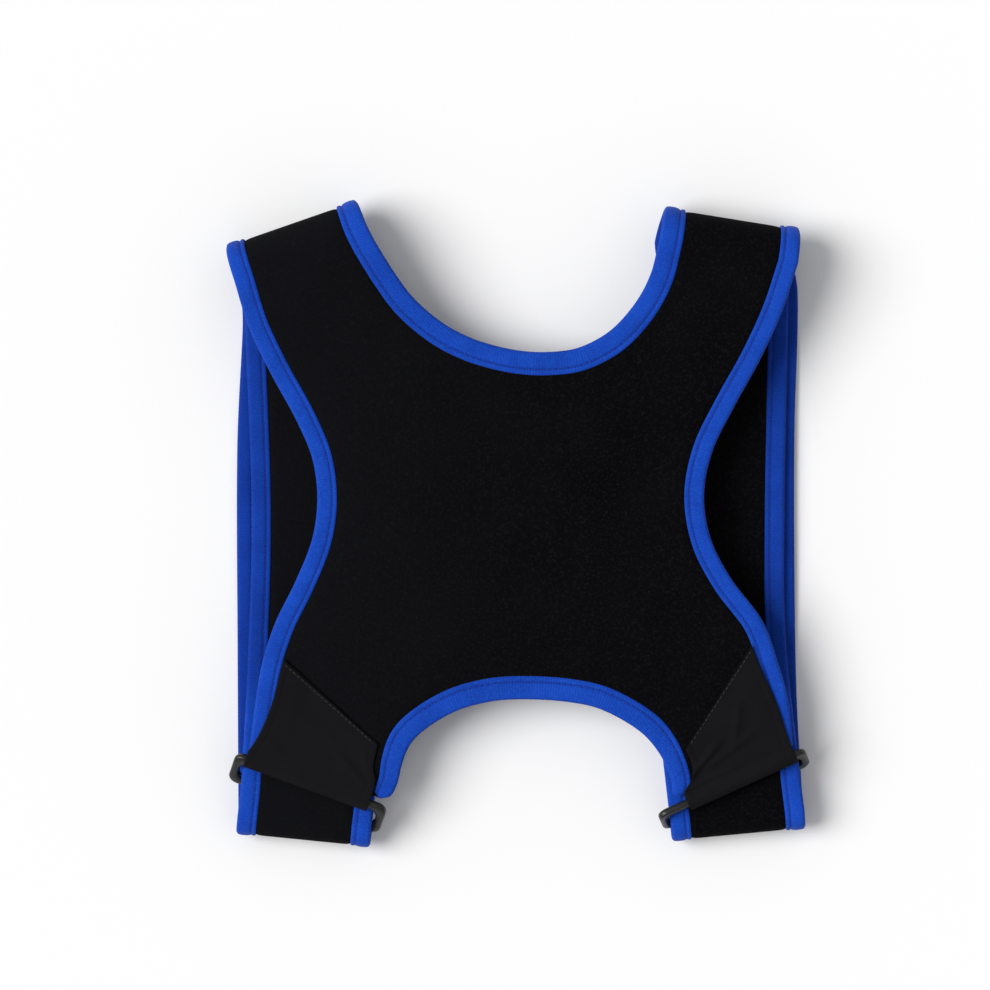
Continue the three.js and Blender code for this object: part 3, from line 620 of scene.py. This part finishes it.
def tape_material():
    """Royal blue knit tape: fine cross ribs, with painted shade in its stitch groove, along both edges and
    low down
    """
    g = Graph("blue_knit_tape", (0.006, 0.053, 0.41), 0.82, 0.1, 0.06, 0.4)
    run = g.run()
    width_share = g.math("MULTIPLY", g.split(run)[1], 100.0)
    cloud = g.noise(g.object, 60, 3)
    ribs = g.wave(run, 210, "X", 1.6)
    fine = g.wave(run, 620, "X", 0.6)
    fuzz = g.noise(g.object, 900, 3, 0.65)
    tone = g.ramp(cloud, [(0.3, (0.0035, 0.043, 0.36)), (0.7, (0.0055, 0.06, 0.46))])
    # Painted shade across the tape: darker in the stitch groove and along both edges, where the rounded tape
    # turns away from the light
    groove = g.ramp(width_share, [(0.0, 0.25), (0.12, 0.0), (0.66, 0.0), (0.735, 0.62), (0.77, 0.62),
                                  (0.82, 0.0), (1.0, 0.1)])
    groove_shaded = g.mix(groove, tone, (0.003, 0.018, 0.2))
    ribbed = g.mix(g.math("MULTIPLY", ribs, 0.13), groove_shaded, (0.003, 0.025, 0.26))
    fibres = g.math("MULTIPLY", g.ramp(fuzz, [(0.45, 0.0), (0.75, 1.0)]), 0.34)
    worn = g.mix(fibres, ribbed, (0.02, 0.13, 0.66))
    # Painted shade: the tape is darkened where it lies low down, as in the shade of the layers above it
    low = g.ramp(g.math("MULTIPLY", g.split(g.object)[2], 40.0), [(0.3, 0.42), (0.62, 0.0)])
    ribbing = g.bump(fine, 0.25, 0.00012, g.bump(ribs, 0.26, 0.0004))
    return g.finish(g.mix(low, worn, (0.001, 0.012, 0.14)), g.math("MULTIPLY_ADD", fuzz, 0.2, 0.68),
                    g.bump(fuzz, 0.25, 0.0002, ribbing))


def gusset_material():
    """Dark woven fabric, a little lighter than the neoprene, with a painted shade line along its top edge"""
    g = Graph("gusset_weave", (0.0048, 0.0046, 0.006), 0.86, 0.1)
    run = g.run()
    weave = g.math("MAXIMUM", g.wave(run, 780, "X"), g.wave(run, 780, "Y", phase=1.57))
    cloud = g.noise(g.object, 45, 3)
    tone = g.ramp(cloud, [(0.3, (0.0034, 0.0033, 0.0045)), (0.7, (0.0058, 0.0056, 0.0072))])
    woven = g.mix(g.math("MULTIPLY", weave, 0.3), tone, (0.0085, 0.0082, 0.0102))
    # Painted shade: a dark line along the top edge stands in for the shadow in the gap where the gusset
    # meets the panel
    painted_edge_shade = g.ramp(g.math("MULTIPLY", g.split(run)[1], 100.0), [(0.11, 1.0), (0.17, 0.0)])
    return g.finish(g.mix(painted_edge_shade, woven, (0.0012, 0.0012, 0.0016)), g.math("MULTIPLY_ADD", cloud, 0.15, 0.78),
                    g.bump(weave, 0.4, 0.0002))


def plastic_material():
    """Moulded black plastic, softly glossy with a fine grain and scuffs"""
    g = Graph("ring_moulded", (0.006, 0.006, 0.007), 0.3, 0.4)
    stretched = g.node("Mapping", {"Vector": g.object, "Scale": (60, 420, 60)}).outputs["Vector"]
    scuff = g.noise(stretched, 1.0, 4, 0.65)
    tone = g.ramp(scuff, [(0.45, (0.005, 0.005, 0.0055)), (0.75, (0.014, 0.0135, 0.0135))])
    return g.finish(tone, g.math("MULTIPLY_ADD", scuff, 0.3, 0.18),
                    g.bump(g.noise(g.object, 700, 3, 0.6), 0.15, 0.0002))


def hook_material():
    """Black hook tape: close rows of small hooks"""
    g = Graph("hook_rows", (0.006, 0.006, 0.0075), 0.6, 0.35)
    hooks = g.node("TexVoronoi", {"Vector": g.object, "Scale": 620}).outputs["Distance"]
    tone = g.ramp(hooks, [(0.1, (0.02, 0.02, 0.023)), (0.6, (0.004, 0.004, 0.005))])
    return g.finish(tone, g.math("MULTIPLY_ADD", hooks, 0.4, 0.4), g.bump(hooks, 0.9, 0.0006))


def thread_material(name, colour):
    """Twisted sewing thread"""
    g = Graph(name, colour, 0.6, 0.3)
    fibre = g.noise(g.object, 2600)
    tone = g.ramp(fibre, [(0.35, np.array(colour) * 0.7), (0.7, np.array(colour) * 1.3)])
    return g.finish(tone, g.math("MULTIPLY_ADD", fibre, 0.2, 0.5), g.bump(fibre, 0.4, 0.0001))


NEOPRENE, TAPE, GUSSET = neoprene_material(), tape_material(), gusset_material()
PLASTIC, HOOKS = plastic_material(), hook_material()
THREAD = thread_material("dark_thread", (0.034, 0.033, 0.037))
TAPE_THREAD = thread_material("blue_thread", (0.003, 0.026, 0.24))

# Neoprene: knots in from an edge of the foam, beside the edge and beside the inner line of its tape
BESIDE_EDGE = np.array([1.1, 3.0])
BESIDE_TRIM = np.array([0.0, 0.5])
BESIDE_TAPE = np.array([-2.0, -0.4, 0.5, 1.2, 2.2, 3.6, 5.5])
BAND_HALVES = np.array([PINCHED_HALF] * 4 + [1.3, 1.5, 1.68, 1.77, FOAM_HALF])
CORE_KNOTS = 26

class Sheet:
    """A closed sheet from knots on its middle surface and the quads between rows of them"""

    def __init__(self):
        self.points, self.normals, self.halves, self.uv, self.faces = [], [], [], [], []
        self.count = 0

    def add(self, points, normals, halves, uv):
        n = len(points)
        self.points.append(points)
        self.normals.append(np.broadcast_to(normals, (n, 3)))
        self.halves.append(np.broadcast_to(halves, (n,)))
        self.uv.append(uv)
        self.count += n
        return np.arange(self.count - n, self.count)

    def join(self, rows, flip=False):
        for a, b in zip(rows, rows[1:]):
            n = min(len(a), len(b))
            quads = np.stack([a[:n - 1], a[1:n], b[1:n], b[:n - 1]], 1)
            self.faces.append(quads[:, ::-1] if flip else quads)

    def close(self):
        points, normals = np.vstack(self.points), np.vstack(self.normals)
        halves, uv = np.concatenate(self.halves), np.vstack(self.uv)
        quads = np.vstack(self.faces)
        n = len(points)
        sides = np.vstack([quads[:, [i, (i + 1) % 4]] for i in range(4)])
        keys = set(map(tuple, sides.tolist()))
        rim = np.array([s for s in sides.tolist() if (s[1], s[0]) not in keys])
        walls = np.stack([rim[:, 1], rim[:, 0], rim[:, 0] + n, rim[:, 1] + n], 1)
        faces = np.vstack([quads, quads[:, ::-1] + n, walls])
        verts = np.vstack([points + normals * halves[:, None], points - normals * halves[:, None]])
        return outward(verts, faces), np.vstack([uv, uv])


def outward(verts, quads):
    """The points, and the quads turned so that they face out"""
    a, b, c, d = (verts[quads[:, i]] for i in range(4))
    volume = (dot(a, np.cross(b, c)) + dot(a, np.cross(c, d))).sum()
    return verts, (quads if volume > 0 else quads[:, ::-1])


def band(edge, trim=0.0):
    """Knots in from an edge, pinched under the tape and full beyond it, and their half thickness"""
    first = np.maximum(BESIDE_EDGE, column(trim) + BESIDE_TRIM)
    first = np.broadcast_to(first, (len(edge.width), 2))
    offsets = np.concatenate([first, edge.width[:, None] + BESIDE_TAPE], 1)
    half = np.broadcast_to(BAND_HALVES, offsets.shape)
    points = edge.point[:, None] + edge.inward[:, None] * offsets[..., None]
    fullness = (half - PINCHED_HALF) / (FOAM_HALF - PINCHED_HALF)
    points = points + edge.normal[:, None] * (fullness * edge.settled[:, None] * SETTLE)[..., None]
    return points, half


def ripple(points):
    """A slight unevenness of the panel, in millimetres"""
    x, y = points[..., 0], points[..., 1]
    return (0.22 * np.sin(x / 17 + np.sin(y / 31)) * np.sin(y / 23 + 0.7)
            + 0.12 * np.sin(x / 9.5 - y / 12 + 1.1))


def core_between(a, b, count=CORE_KNOTS):
    share = np.linspace(0, 1, count + 2)[1:-1, None]
    return a * (1 - share) + b * share


def fade_in(share):
    """0 at an end of a row, and 1 from a quarter of the row on"""
    return np.sin(np.minimum(share * 4, 1) * math.pi / 2)


def panel_piece():
    """The back panel and the turns of both shoulders: rows in from the armholes"""
    sheet = Sheet()

    def lay(points, normal, halves):
        return sheet.add(points, normal, halves, points[..., :2].copy())

    arch_mid, neck_mid = arch_edge.pick([ARCH_MIDDLE]), neck_edge.pick([NECK_MIDDLE])
    (arch_points, arch_half), (neck_points, neck_half) = band(arch_mid), band(neck_mid)
    arch_band = lay(arch_points[0], arch_mid.normal[0], arch_half[0])
    neck_band = lay(neck_points[0], neck_mid.normal[0], neck_half[0])
    spine = core_between(arch_points[0, -1], neck_points[0, -1], CENTRE_ROWS * FINE - 1)
    spine = on_surface(spine, ripple(spine))
    spine_knots = lay(spine, panel_normal(spine), FOAM_HALF)
    first, second = WING_ROWS * FINE, (WING_ROWS + CENTRE_ROWS) * FINE
    share = np.linspace(0, 1, CORE_KNOTS + 2)[1:-1]
    for half in HALVES:
        outer_points, outer_half = band(half.outer.pick(slice(0, half.panel_count)))
        arch, neck = half.arch_done, half.neck_done
        arch_points, arch_half = band(arch, arch_trim(arch))
        neck_points, neck_half = band(neck)
        rows = []
        for i in range(half.panel_count):
            j = first - 1 - i if i < first else i - second - 1
            if i < first:
                inner = lay(arch_points[j], arch.normal[j], arch_half[j])
            elif i == first:
                inner = arch_band
            elif i < second:
                inner = spine_knots[i - first - 1:i - first]
            elif i == second:
                inner = neck_band
            else:
                inner = lay(neck_points[j], neck.normal[j], neck_half[j])
            outer = lay(outer_points[i], half.outer.normal[i], outer_half[i])
            core = core_between(outer_points[i, -1], np.vstack(sheet.points)[inner[-1]])
            to_spine = len(inner) == 1
            fade = fade_in(share) * (1 if to_spine else fade_in(1 - share))
            middle = lay(on_surface(core, ripple(core) * fade), panel_normal(core), FOAM_HALF)
            rows.append(np.concatenate([outer, middle, inner[::-1]]))
        base = None
        for points, normal, halves, arc in strap_knots(half, 0, FOLD_STEPS + 1):
            if base is None:
                base = points[..., :2].copy()
            rows.append(sheet.add(points, normal, halves, base + half.side.fold_out[:2] * arc))
        sheet.join(rows, flip=half.side.hand > 0)
    return sheet


def strap_knots(half, low_row, high_row):
    """Knots of the rows of a strap, one row at a time, with the length run so far"""
    rows = half.rows
    outer = half.outer.pick(slice(half.panel_count + low_row, half.panel_count + high_row))
    a, a_half = band(outer)
    b, b_half = band(half.inner_done.pick(slice(low_row, high_row)))
    middles = rows.middle[low_row:high_row]
    arc = np.concatenate([[0], np.cumsum(np.linalg.norm(np.diff(middles, axis=0), axis=1))])
    for i in range(len(middles)):
        core = core_between(a[i, -1], b[i, -1])
        yield (np.vstack([a[i], core, b[i, ::-1]]), rows.normal[low_row + i],
               np.concatenate([a_half[i], np.full(CORE_KNOTS, FOAM_HALF), b_half[i, ::-1]]), arc[i])


def strap_piece(half):
    sheet, knots = Sheet(), []
    rows = half.rows
    for i, (points, normal, halves, arc) in enumerate(
            strap_knots(half, FOLD_STEPS + 1, len(rows.half))):
        k = FOLD_STEPS + 1 + i
        across = dot(points - rows.middle[k], rows.line[k])
        uv = np.stack([across, np.full_like(across, arc)], -1)
        knots.append(sheet.add(points, normal, halves, uv))
    sheet.join(knots)
    return sheet


# Edge tape: the upper half of its section, a turned edge and then heights at shares of the width,
# and its inside, which also lies along the foam's edge
TURN_ANGLES = np.radians(np.arange(0, 91, 15))
TURN_DEPTH, TURN_HEIGHT = 2.0, 2.1
TAPE_TOP = [(0.3, 2.2), (0.42, 2.2), (0.54, 2.16), (0.64, 2.04), (0.7, 1.86), (0.735, 1.66), (0.76, 1.64),
            (0.8, 1.8), (0.85, 1.95), (0.9, 1.97), (0.95, 1.87), (0.985, 1.66), (1.0, 1.42)]
INSIDE_HEIGHTS = [1.22, 1.2, 1.2, 0.9]
PROUD_FROM, PROUD_RISE = 1.3, 1.1
NARROWEST = 0.02
STITCH_SHARE, STITCH_HEIGHT, TAPE_PITCH = 0.747, 1.62, 3.1


def end_shrink(edge):
    """1 along the tape, falling in a quarter round to nearly 0 at each end of the arch"""
    share = np.clip(1 - edge.to_end / (edge.width / 2), 0, 1)
    return np.sqrt(np.maximum(1 - share ** 2, NARROWEST))


def arch_trim(edge):
    """How far the foam stays in from the rounded ends of the arch tape"""
    return edge.width / 2 * (1 - end_shrink(edge)) + 2 * CLEARANCE


def tape_section(edge, rounded=False):
    """Points (n, m, 3) of the folded tape round an edge, and how far in each lies, ten at the full width"""
    w = edge.width[:, None]
    shares, heights = np.array(TAPE_TOP).T
    turned = np.broadcast_to(TURN_DEPTH * (1 - np.cos(TURN_ANGLES)), (len(w), len(TURN_ANGLES)))
    x = np.concatenate([turned, w * shares], 1)
    y = np.broadcast_to(np.concatenate([TURN_HEIGHT * np.sin(TURN_ANGLES), heights]), x.shape)
    inside_x = np.concatenate([w - 0.25, w * 0.5, np.full_like(w, 1.3), np.full_like(w, 1.0)], 1)
    inside_y = np.broadcast_to(INSIDE_HEIGHTS, inside_x.shape)
    x = np.concatenate([x, inside_x, inside_x[:, ::-1], x[:, :0:-1]], 1)
    y = np.concatenate([y, inside_y, -inside_y[:, ::-1], -y[:, :0:-1]], 1)
    lift = np.maximum(y - PROUD_FROM, 0) / (TAPE_HALF - PROUD_FROM) * PROUD_RISE
    y = y + lift * edge.proud[:, None]
    if rounded:
        shrink = end_shrink(edge)[:, None]
        x = w / 2 + (x - w / 2) * shrink
        y = y * (0.45 + 0.55 * shrink)
    points = edge.point[:, None] + edge.inward[:, None] * x[..., None] + edge.normal[:, None] * y[..., None]
    return points, x / w * 10


def tape_piece(name, edge, node, rounded=False):
    points, across = tape_section(edge, rounded)
    n, m = points.shape[:2]
    uv = np.stack(np.broadcast_arrays(edge.along[:, None], across), -1).reshape(-1, 2)
    caps = []
    for start in (0, (n - 1) * m):
        pairs = [(j, (m - j) % m) for j in range(m // 2 + 1)]
        for (a, b), (c, d) in zip(pairs, pairs[1:]):
            quad = [start + a, start + c, start + d, start + b]
            caps.append(quad if start else quad[::-1])
    faces = np.vstack([grid_faces(n, m, wrap=True), np.array(caps)])
    verts, faces = outward(points.reshape(-1, 3), faces)
    piece = mesh_piece(name, verts, faces, TAPE, "edge_tape", node, uv)


# Thread: stations along a stitch as shares of its length, their sizes and their dips into the cloth
STITCH_STATIONS = np.array([-0.5, -0.36, 0, 0.36, 0.5])
STITCH_SIZES = np.array([0.35, 0.9, 1.0, 0.9, 0.35])
STITCH_DIPS = np.array([-0.9, -0.1, 0.25, -0.1, -0.9])


def stitches(name, centres, along, normals, material, slot, length=2.3, radius=0.24):
    """A piece of short rounded stitches lying on a surface; their ends dip into it"""
    along, normals = unit(along)[:, None, None], unit(normals)[:, None, None]
    aside = np.cross(along, normals)
    ring = np.radians(np.arange(0, 360, 60))
    wide, high = (STITCH_SIZES[:, None] * turned * radius for turned in (np.cos(ring), np.sin(ring)))
    verts = (centres[:, None, None] + along * (STITCH_STATIONS * length)[:, None, None]
             + normals * (STITCH_DIPS * radius)[:, None, None] + aside * wide[..., None]
             + normals * high[..., None])
    n, s, m = verts.shape[:3]
    caps = np.array([[0, 1, 2, 3], [0, 3, 4, 5], [3, 2, 1, 0], [5, 4, 3, 0]])
    caps[2:] += (s - 1) * m
    one = np.vstack([grid_faces(s, m, wrap=True)[:, ::-1], caps])
    faces = (one[None] + (np.arange(n) * s * m)[:, None, None]).reshape(-1, 4)
    verts, faces = outward(verts.reshape(-1, 3), faces)
    return mesh_piece(name, verts, faces, material, slot, None, np.zeros((len(verts), 2)))


def on_edge(edge, face):
    """Places of stitches in the groove of a tape, on one of its faces"""
    s = np.arange(TAPE_PITCH, edge.along[-1] - TAPE_PITCH, TAPE_PITCH)
    width = np.interp(s, edge.along, edge.width)
    normal = unit(read(s, edge.along, edge.normal)) * face
    inward = read(s, edge.along, edge.inward) * column(width * STITCH_SHARE)
    point = read(s, edge.along, edge.point) + inward + normal * STITCH_HEIGHT
    return point, read(s, edge.along, np.gradient(edge.point, edge.along, axis=0)), normal


# Gussets: rows as shares of the rise, steps in from the sides, and half thicknesses near the rims
GUSSET_ROWS = np.concatenate([[0, 0.006, 0.016], np.linspace(0.03, 0.86, 26),
                              [0.885, 0.905, 0.922, 0.945, 0.965, 0.982, 0.993, 1.0]])
SIDE_STEPS = np.array([0, 0.15, 0.4, 0.9, 1.8, 3.2, 4.0, 4.4, 4.8, 5.4, 6.4])
SIDE_RIM = [0, 0.15, 0.4, 0.9], [0.12, 0.35, 0.52, FABRIC / 2]
TOP_RIM = [0, 0.3, 0.9], [0.2, 0.7, 1]
FOLDED_RISE, FOLDED_IN, FOLDED_EASE = 0.16, 3.6, 1.2
GROOVE_IN, GROOVE_EASE, SIDE_GROOVE, TOP_GROOVE = 4.4, 0.5, 0.14, 0.2
SINK, SINK_FROM, SINK_EASE = 0.55, 13, 9
TOPSTITCH_IN, TOPSTITCH_PITCH, TOPSTITCH_HEIGHT = 2.5, 3.0, 0.83

# Each crease: its ends, outward and up from the middle of the bar, and its half width and height
CREASES = {
    "left": [((-34, 4), (10, 10), 2.0, 0.91), ((-34, 6), (-4, 24), 2.2, 0.78),
             ((-33, 10), (-20, 30), 2.0, 0.52), ((8, 5), (34, 15), 2.4, 0.65),
             ((-10, 26), (26, 33), 2.6, 0.52)],
    "right": [((-30, 5), (12, 8), 1.8, 1.95), ((-30, 8), (6, 26), 1.9, 1.95),
              ((-28, 12), (-8, 38), 2.0, 1.43), ((-10, 14), (26, 22), 2.0, 1.3),
              ((10, 20), (24, 42), 2.0, 1.04), ((-30, 3), (-2, 3), 1.4, 1.17),
              ((4, 4), (30, 9), 1.8, 1.17)],
}


def crease(place, start, end, width, height):
    """A soft ridge along a line on the gusset, fading at both ends"""
    start, end = np.array(start, float), np.array(end, float)
    span = end - start
    length = np.linalg.norm(span)
    t = ((place - start) @ span) / length ** 2
    off = (place[..., 0] - start[0]) * span[1] / length - (place[..., 1] - start[1]) * span[0] / length
    taper = smooth(t * 4 + 0.4) * smooth((1 - t) * 3 + 0.2)
    return height * np.exp(-(off / width) ** 2) * taper


def folded_edge(distance, groove):
    """The relief of a folded edge, sewn down: raised at first, then a groove"""
    raised = FOLDED_RISE * (1 - smooth((distance - FOLDED_IN) / FOLDED_EASE))
    return raised - groove * np.exp(-((distance - GROOVE_IN) / GROOVE_EASE) ** 2)


def gusset_ends(half):
    """Outer and inner ends of the rows of the gusset, from the bar to its top edge"""
    side, rise = half.side, GUSSET_ROWS
    hold = 1 - smooth(rise * 2)
    outer = on_panel(half.armhole_curve.at(rise * side.gusset_outer / half.armhole_curve.length),
                     -side.outward, hold).finish()
    inner = on_panel(half.arch_curve.at(1 - rise * side.gusset_inner / half.arch_curve.length),
                     side.outward, hold).finish()
    in_slot = side.wing_out * WING_WIDTH - SLEEVE_HALF
    across_tape = in_slot + (TAPE_WIDTH - in_slot) * (1 - (1 - rise) ** side.gusset_ease)
    beside_tape = ARCH_TAPE_END + (WIDE_TAPE - ARCH_TAPE_END) * smooth(rise * 1.5)
    flare = side.sleeve_flare * (1 - smooth(rise * 1.3))
    beside_arch = beside_tape + side.gusset_setback * rise + 2 * CLEARANCE - flare
    return (outer.point + outer.inward * column(across_tape),
            inner.point + inner.inward * column(beside_arch))


def gusset_piece(half):
    """The gusset over both faces of the wing, with the sleeve round the ring's bar between them"""
    side = half.side
    a, b = gusset_ends(half)
    span = np.linalg.norm(flat(a[0]) - flat(b[0]))
    across = np.concatenate([SIDE_STEPS, np.linspace(8, span - 8, 26), span - SIDE_STEPS[::-1]])
    columns = across / span
    from_side = np.minimum(columns, 1 - columns) * span
    rim = np.interp(from_side, *SIDE_RIM)
    sheet, rows = Sheet(), []

    def layer(i, face):
        point = a[i] + (b[i] - a[i]) * columns[:, None]
        place = np.stack([dot(point - side.bar, side.outward), dot(point - side.bar, side.bar_up)], -1)
        normal = panel_normal(point)
        from_top = (1 - GUSSET_ROWS[i]) * side.gusset_outer
        off = np.full(len(point), GUSSET_OFFSET)
        if face > 0:
            off -= SINK * smooth((across - SINK_FROM) / SINK_EASE) * smooth((GUSSET_ROWS[i] - 0.12) / 0.3)
            relief = sum(crease(place, *c) for c in CREASES[side.name])
            off += relief * smooth((GUSSET_ROWS[i] - 0.02) / 0.15) * smooth((1 - GUSSET_ROWS[i]) / 0.2)
            off += folded_edge(from_top, TOP_GROOVE) + folded_edge(from_side, SIDE_GROOVE)
        uv = np.stack([across, np.full_like(across, from_top)], -1)
        return sheet.add(on_surface(point) + normal * column(off * face), normal * face,
                         rim * np.interp(from_top, *TOP_RIM), uv)

    for i in reversed(range(len(GUSSET_ROWS))):
        rows.append(layer(i, -1))
    base = dot(a[0] + (b[0] - a[0]) * columns[:, None] - side.bar, side.outward)
    uv = np.stack([across, np.full_like(across, side.gusset_outer)], -1)
    for angle in np.linspace(0, math.pi, 26):
        away = -side.bar_up * math.sin(angle) - UP * math.cos(angle)
        points = side.bar + side.outward * column(base) + away * SLEEVE_RADIUS
        rows.append(sheet.add(points, away, rim, uv))
    for i in range(len(GUSSET_ROWS)):
        rows.append(layer(i, 1))
    sheet.join(rows)
    (verts, faces), uv = sheet.close()
    piece = mesh_piece(f"gusset_{side.name}_cloth", verts, faces, GUSSET, "gusset_fabric",
                       f"gusset_{side.name}", uv)
    top = np.linalg.norm(flat(a[-1]) - flat(b[-1]))


def gusset_stitches(half):
    """Topstitching along the top edge of the gusset"""
    side = half.side
    share = 1 - TOPSTITCH_IN / side.gusset_outer
    start, end = (read(share, GUSSET_ROWS, ends) for ends in gusset_ends(half))
    length = np.linalg.norm(end - start)
    s = np.arange(TOPSTITCH_PITCH, length - TOPSTITCH_PITCH, TOPSTITCH_PITCH)
    centres = start + (end - start) * column(s / length)
    normal = panel_normal(centres)
    height = GUSSET_OFFSET + TOPSTITCH_HEIGHT - SINK * smooth((s - SINK_FROM) / SINK_EASE)
    return stitches(f"gusset_{side.name}_thread", on_surface(centres) + normal * column(height),
                    np.broadcast_to(end - start, centres.shape), normal, THREAD, "gusset_fabric", 2.2, 0.2)


# Rings and hook tabs
SECTION_SQUARENESS = 0.62
TAB_PROFILE = [(25, -1), (0.35, -1), (0.1, -0.8), (0, -0.4), (0, 0.4), (0.1, 0.75), (0.4, 1), (3, 1), (8, 1),
               (14, 1)]
def rounded_loop(width, height, radius, steps=10, straight=12):
    """A rectangle with round corners as points, each side and corner with the same number"""
    x, y = width / 2 - radius, height / 2 - radius
    corners = [(x, -y, -90), (x, y, 0), (-x, y, 90), (-x, -y, 180)]
    points = []
    for (cx, cy, start), (nx, ny, following) in zip(corners, corners[1:] + corners[:1]):
        arc = np.radians(start + np.linspace(0, 90, steps))
        points += [(cx + radius * math.cos(q), cy + radius * math.sin(q)) for q in arc]
        end = points[-1]
        q = math.radians(following)
        onward = (nx + radius * math.cos(q), ny + radius * math.sin(q))
        for s in np.linspace(0, 1, straight + 2)[1:-1]:
            points.append((end[0] + (onward[0] - end[0]) * s, end[1] + (onward[1] - end[1]) * s))
    return np.array(points)


def placed(local, origin, first, second):
    return (origin + column(local[..., 0]) * first + column(local[..., 1]) * second
            + column(local[..., 2]) * np.cross(first, second))


def ring_piece(side):
    """The ring, its section round like a rounded square"""
    outer = rounded_loop(RING_LENGTH, BAR_PITCH + BAR_WIDTH, MOULDED_CORNER)
    inner = rounded_loop(RING_LENGTH - 2 * MOULDED_END, SLOT_WIDTH, MOULDED_SLOT_CORNER)
    angle = np.radians(np.arange(0, 360, 18))
    c, s = (np.sign(v) * np.abs(v) ** SECTION_SQUARENESS for v in (np.cos(angle), np.sin(angle)))
    plan = (outer + inner)[:, None] / 2 + (outer - inner)[:, None] / 2 * c[None, :, None]
    local = np.concatenate([plan, np.broadcast_to(s * BAR_THICKNESS / 2, plan.shape[:2])[..., None]], -1)
    n, m = plan.shape[:2]
    faces = grid_faces(n + 1, m, wrap=True) % (n * m)
    origin = side.bar - side.ring_up * BAR_PITCH / 2
    verts, faces = outward(placed(local, origin, side.bar_line, side.ring_up).reshape(-1, 3), faces)
    return mesh_piece(f"ring_{side.name}_moulding", verts, faces, PLASTIC, "ring_plastic",
                      f"ring_{side.name}", local.reshape(-1, 3)[:, :2])


def tab_piece(half):
    """A plate of hook tape near the end of the tail, from loops inset and raised along its profile"""
    side, rows = half.side, half.rows
    end, before = rows.middle[-1], rows.middle[-8]
    ahead = unit(flat(end - before))
    origin = end - ahead * (TAB_END_GAP + TAB_LENGTH / 2) + UP * (FOAM_HALF + CLEARANCE + TAB_THICKNESS / 2)
    width = STRAP_WIDTH - 2 * (TAPE_WIDTH + TAB_SIDE_GAP)
    loops = []
    for inset, height in TAB_PROFILE:
        shrink = min(inset, TAB_LENGTH / 2 - 1)
        loop = rounded_loop(width - 2 * shrink, TAB_LENGTH - 2 * shrink, max(TAB_CORNER - shrink, 0.5))
        loops.append(np.column_stack([loop, np.full(len(loop), height * TAB_THICKNESS / 2)]))
    local = np.array(loops)
    n, m = local.shape[:2]
    caps = [[start + j, start + j + 1, start + m - 2 - j, start + m - 1 - j]
            for start in (0, (n - 1) * m) for j in range(m // 2 - 1)]
    faces = np.vstack([grid_faces(n, m, wrap=True), np.array(caps)])
    verts, faces = outward(placed(local, origin, np.cross(ahead, UP), ahead).reshape(-1, 3), faces)
    return mesh_piece(f"hook_tab_{side.name}_hooks", verts, faces, HOOKS, "hook_tape",
                      f"hook_tab_{side.name}", local.reshape(-1, 3)[:, :2])


# All pieces
(verts, faces), uv = panel_piece().close()
panel = mesh_piece("back_panel_neoprene", verts, faces, NEOPRENE, "neoprene", "back_panel", uv)
for half in HALVES:
    side = half.side
    (verts, faces), uv = strap_piece(half).close()
    strap = mesh_piece(f"shoulder_strap_{side.name}_neoprene", verts, faces, NEOPRENE, "neoprene",
                       f"shoulder_strap_{side.name}", uv)
    tape_piece(f"binding_armhole_{side.name}_tape", half.outer, f"binding_armhole_{side.name}")
    gusset_piece(half)
    gusset_stitches(half)
    ring_piece(side)
    tab_piece(half)
tape_piece("binding_neck_tape", neck_edge, "binding_neck")
tape_piece("binding_arch_tape", arch_edge, "binding_arch", rounded=True)
for name, edge in (("neck", neck_edge), ("arch", arch_edge), ("armhole_left", left.outer),
                   ("armhole_right", right.outer)):
    parts = [on_edge(edge, face) for face in (1, -1)]
    stitches(f"binding_{name}_thread", *(np.vstack(p) for p in zip(*parts)), TAPE_THREAD, "edge_tape")

# Table, light and camera
bpy.ops.mesh.primitive_plane_add(size=TABLE_SIZE, location=(0, 0, -TABLE_GAP))
table = bpy.context.object
table.name = "table"
table.data.materials.append(Graph("pale_table", (0.9, 0.9, 0.9), 0.7, 0.1).material)

world = bpy.data.worlds.new("studio")
bpy.context.scene.world = world
world.use_nodes = True
world.node_tree.nodes["Background"].inputs["Color"].default_value = (1, 1, 1, 1)
world.node_tree.nodes["Background"].inputs["Strength"].default_value = AMBIENT

sun = bpy.data.lights.new("window", "SUN")
sun.energy = KEY
sun.angle = math.radians(KEY_SPREAD)
lamp = bpy.data.objects.new("window", sun)
bpy.context.scene.collection.objects.link(lamp)
lamp.rotation_mode = "QUATERNION"
lamp.rotation_quaternion = Vector(KEY_FROM).to_track_quat("Z", "Y")

bpy.context.scene.view_settings.view_transform = "Standard"

eye = bpy.data.cameras.new("camera")
eye.sensor_width = SENSOR
eye.lens = SENSOR * CAMERA_HEIGHT / CAMERA_FIELD
eye.clip_start, eye.clip_end = 0.1, 40
camera = bpy.data.objects.new("camera", eye)
bpy.context.scene.collection.objects.link(camera)
camera.location = (*((np.array(CAMERA_OVER) + SHIFT[:2]) / 1000), CAMERA_HEIGHT / 1000)
bpy.context.scene.camera = camera
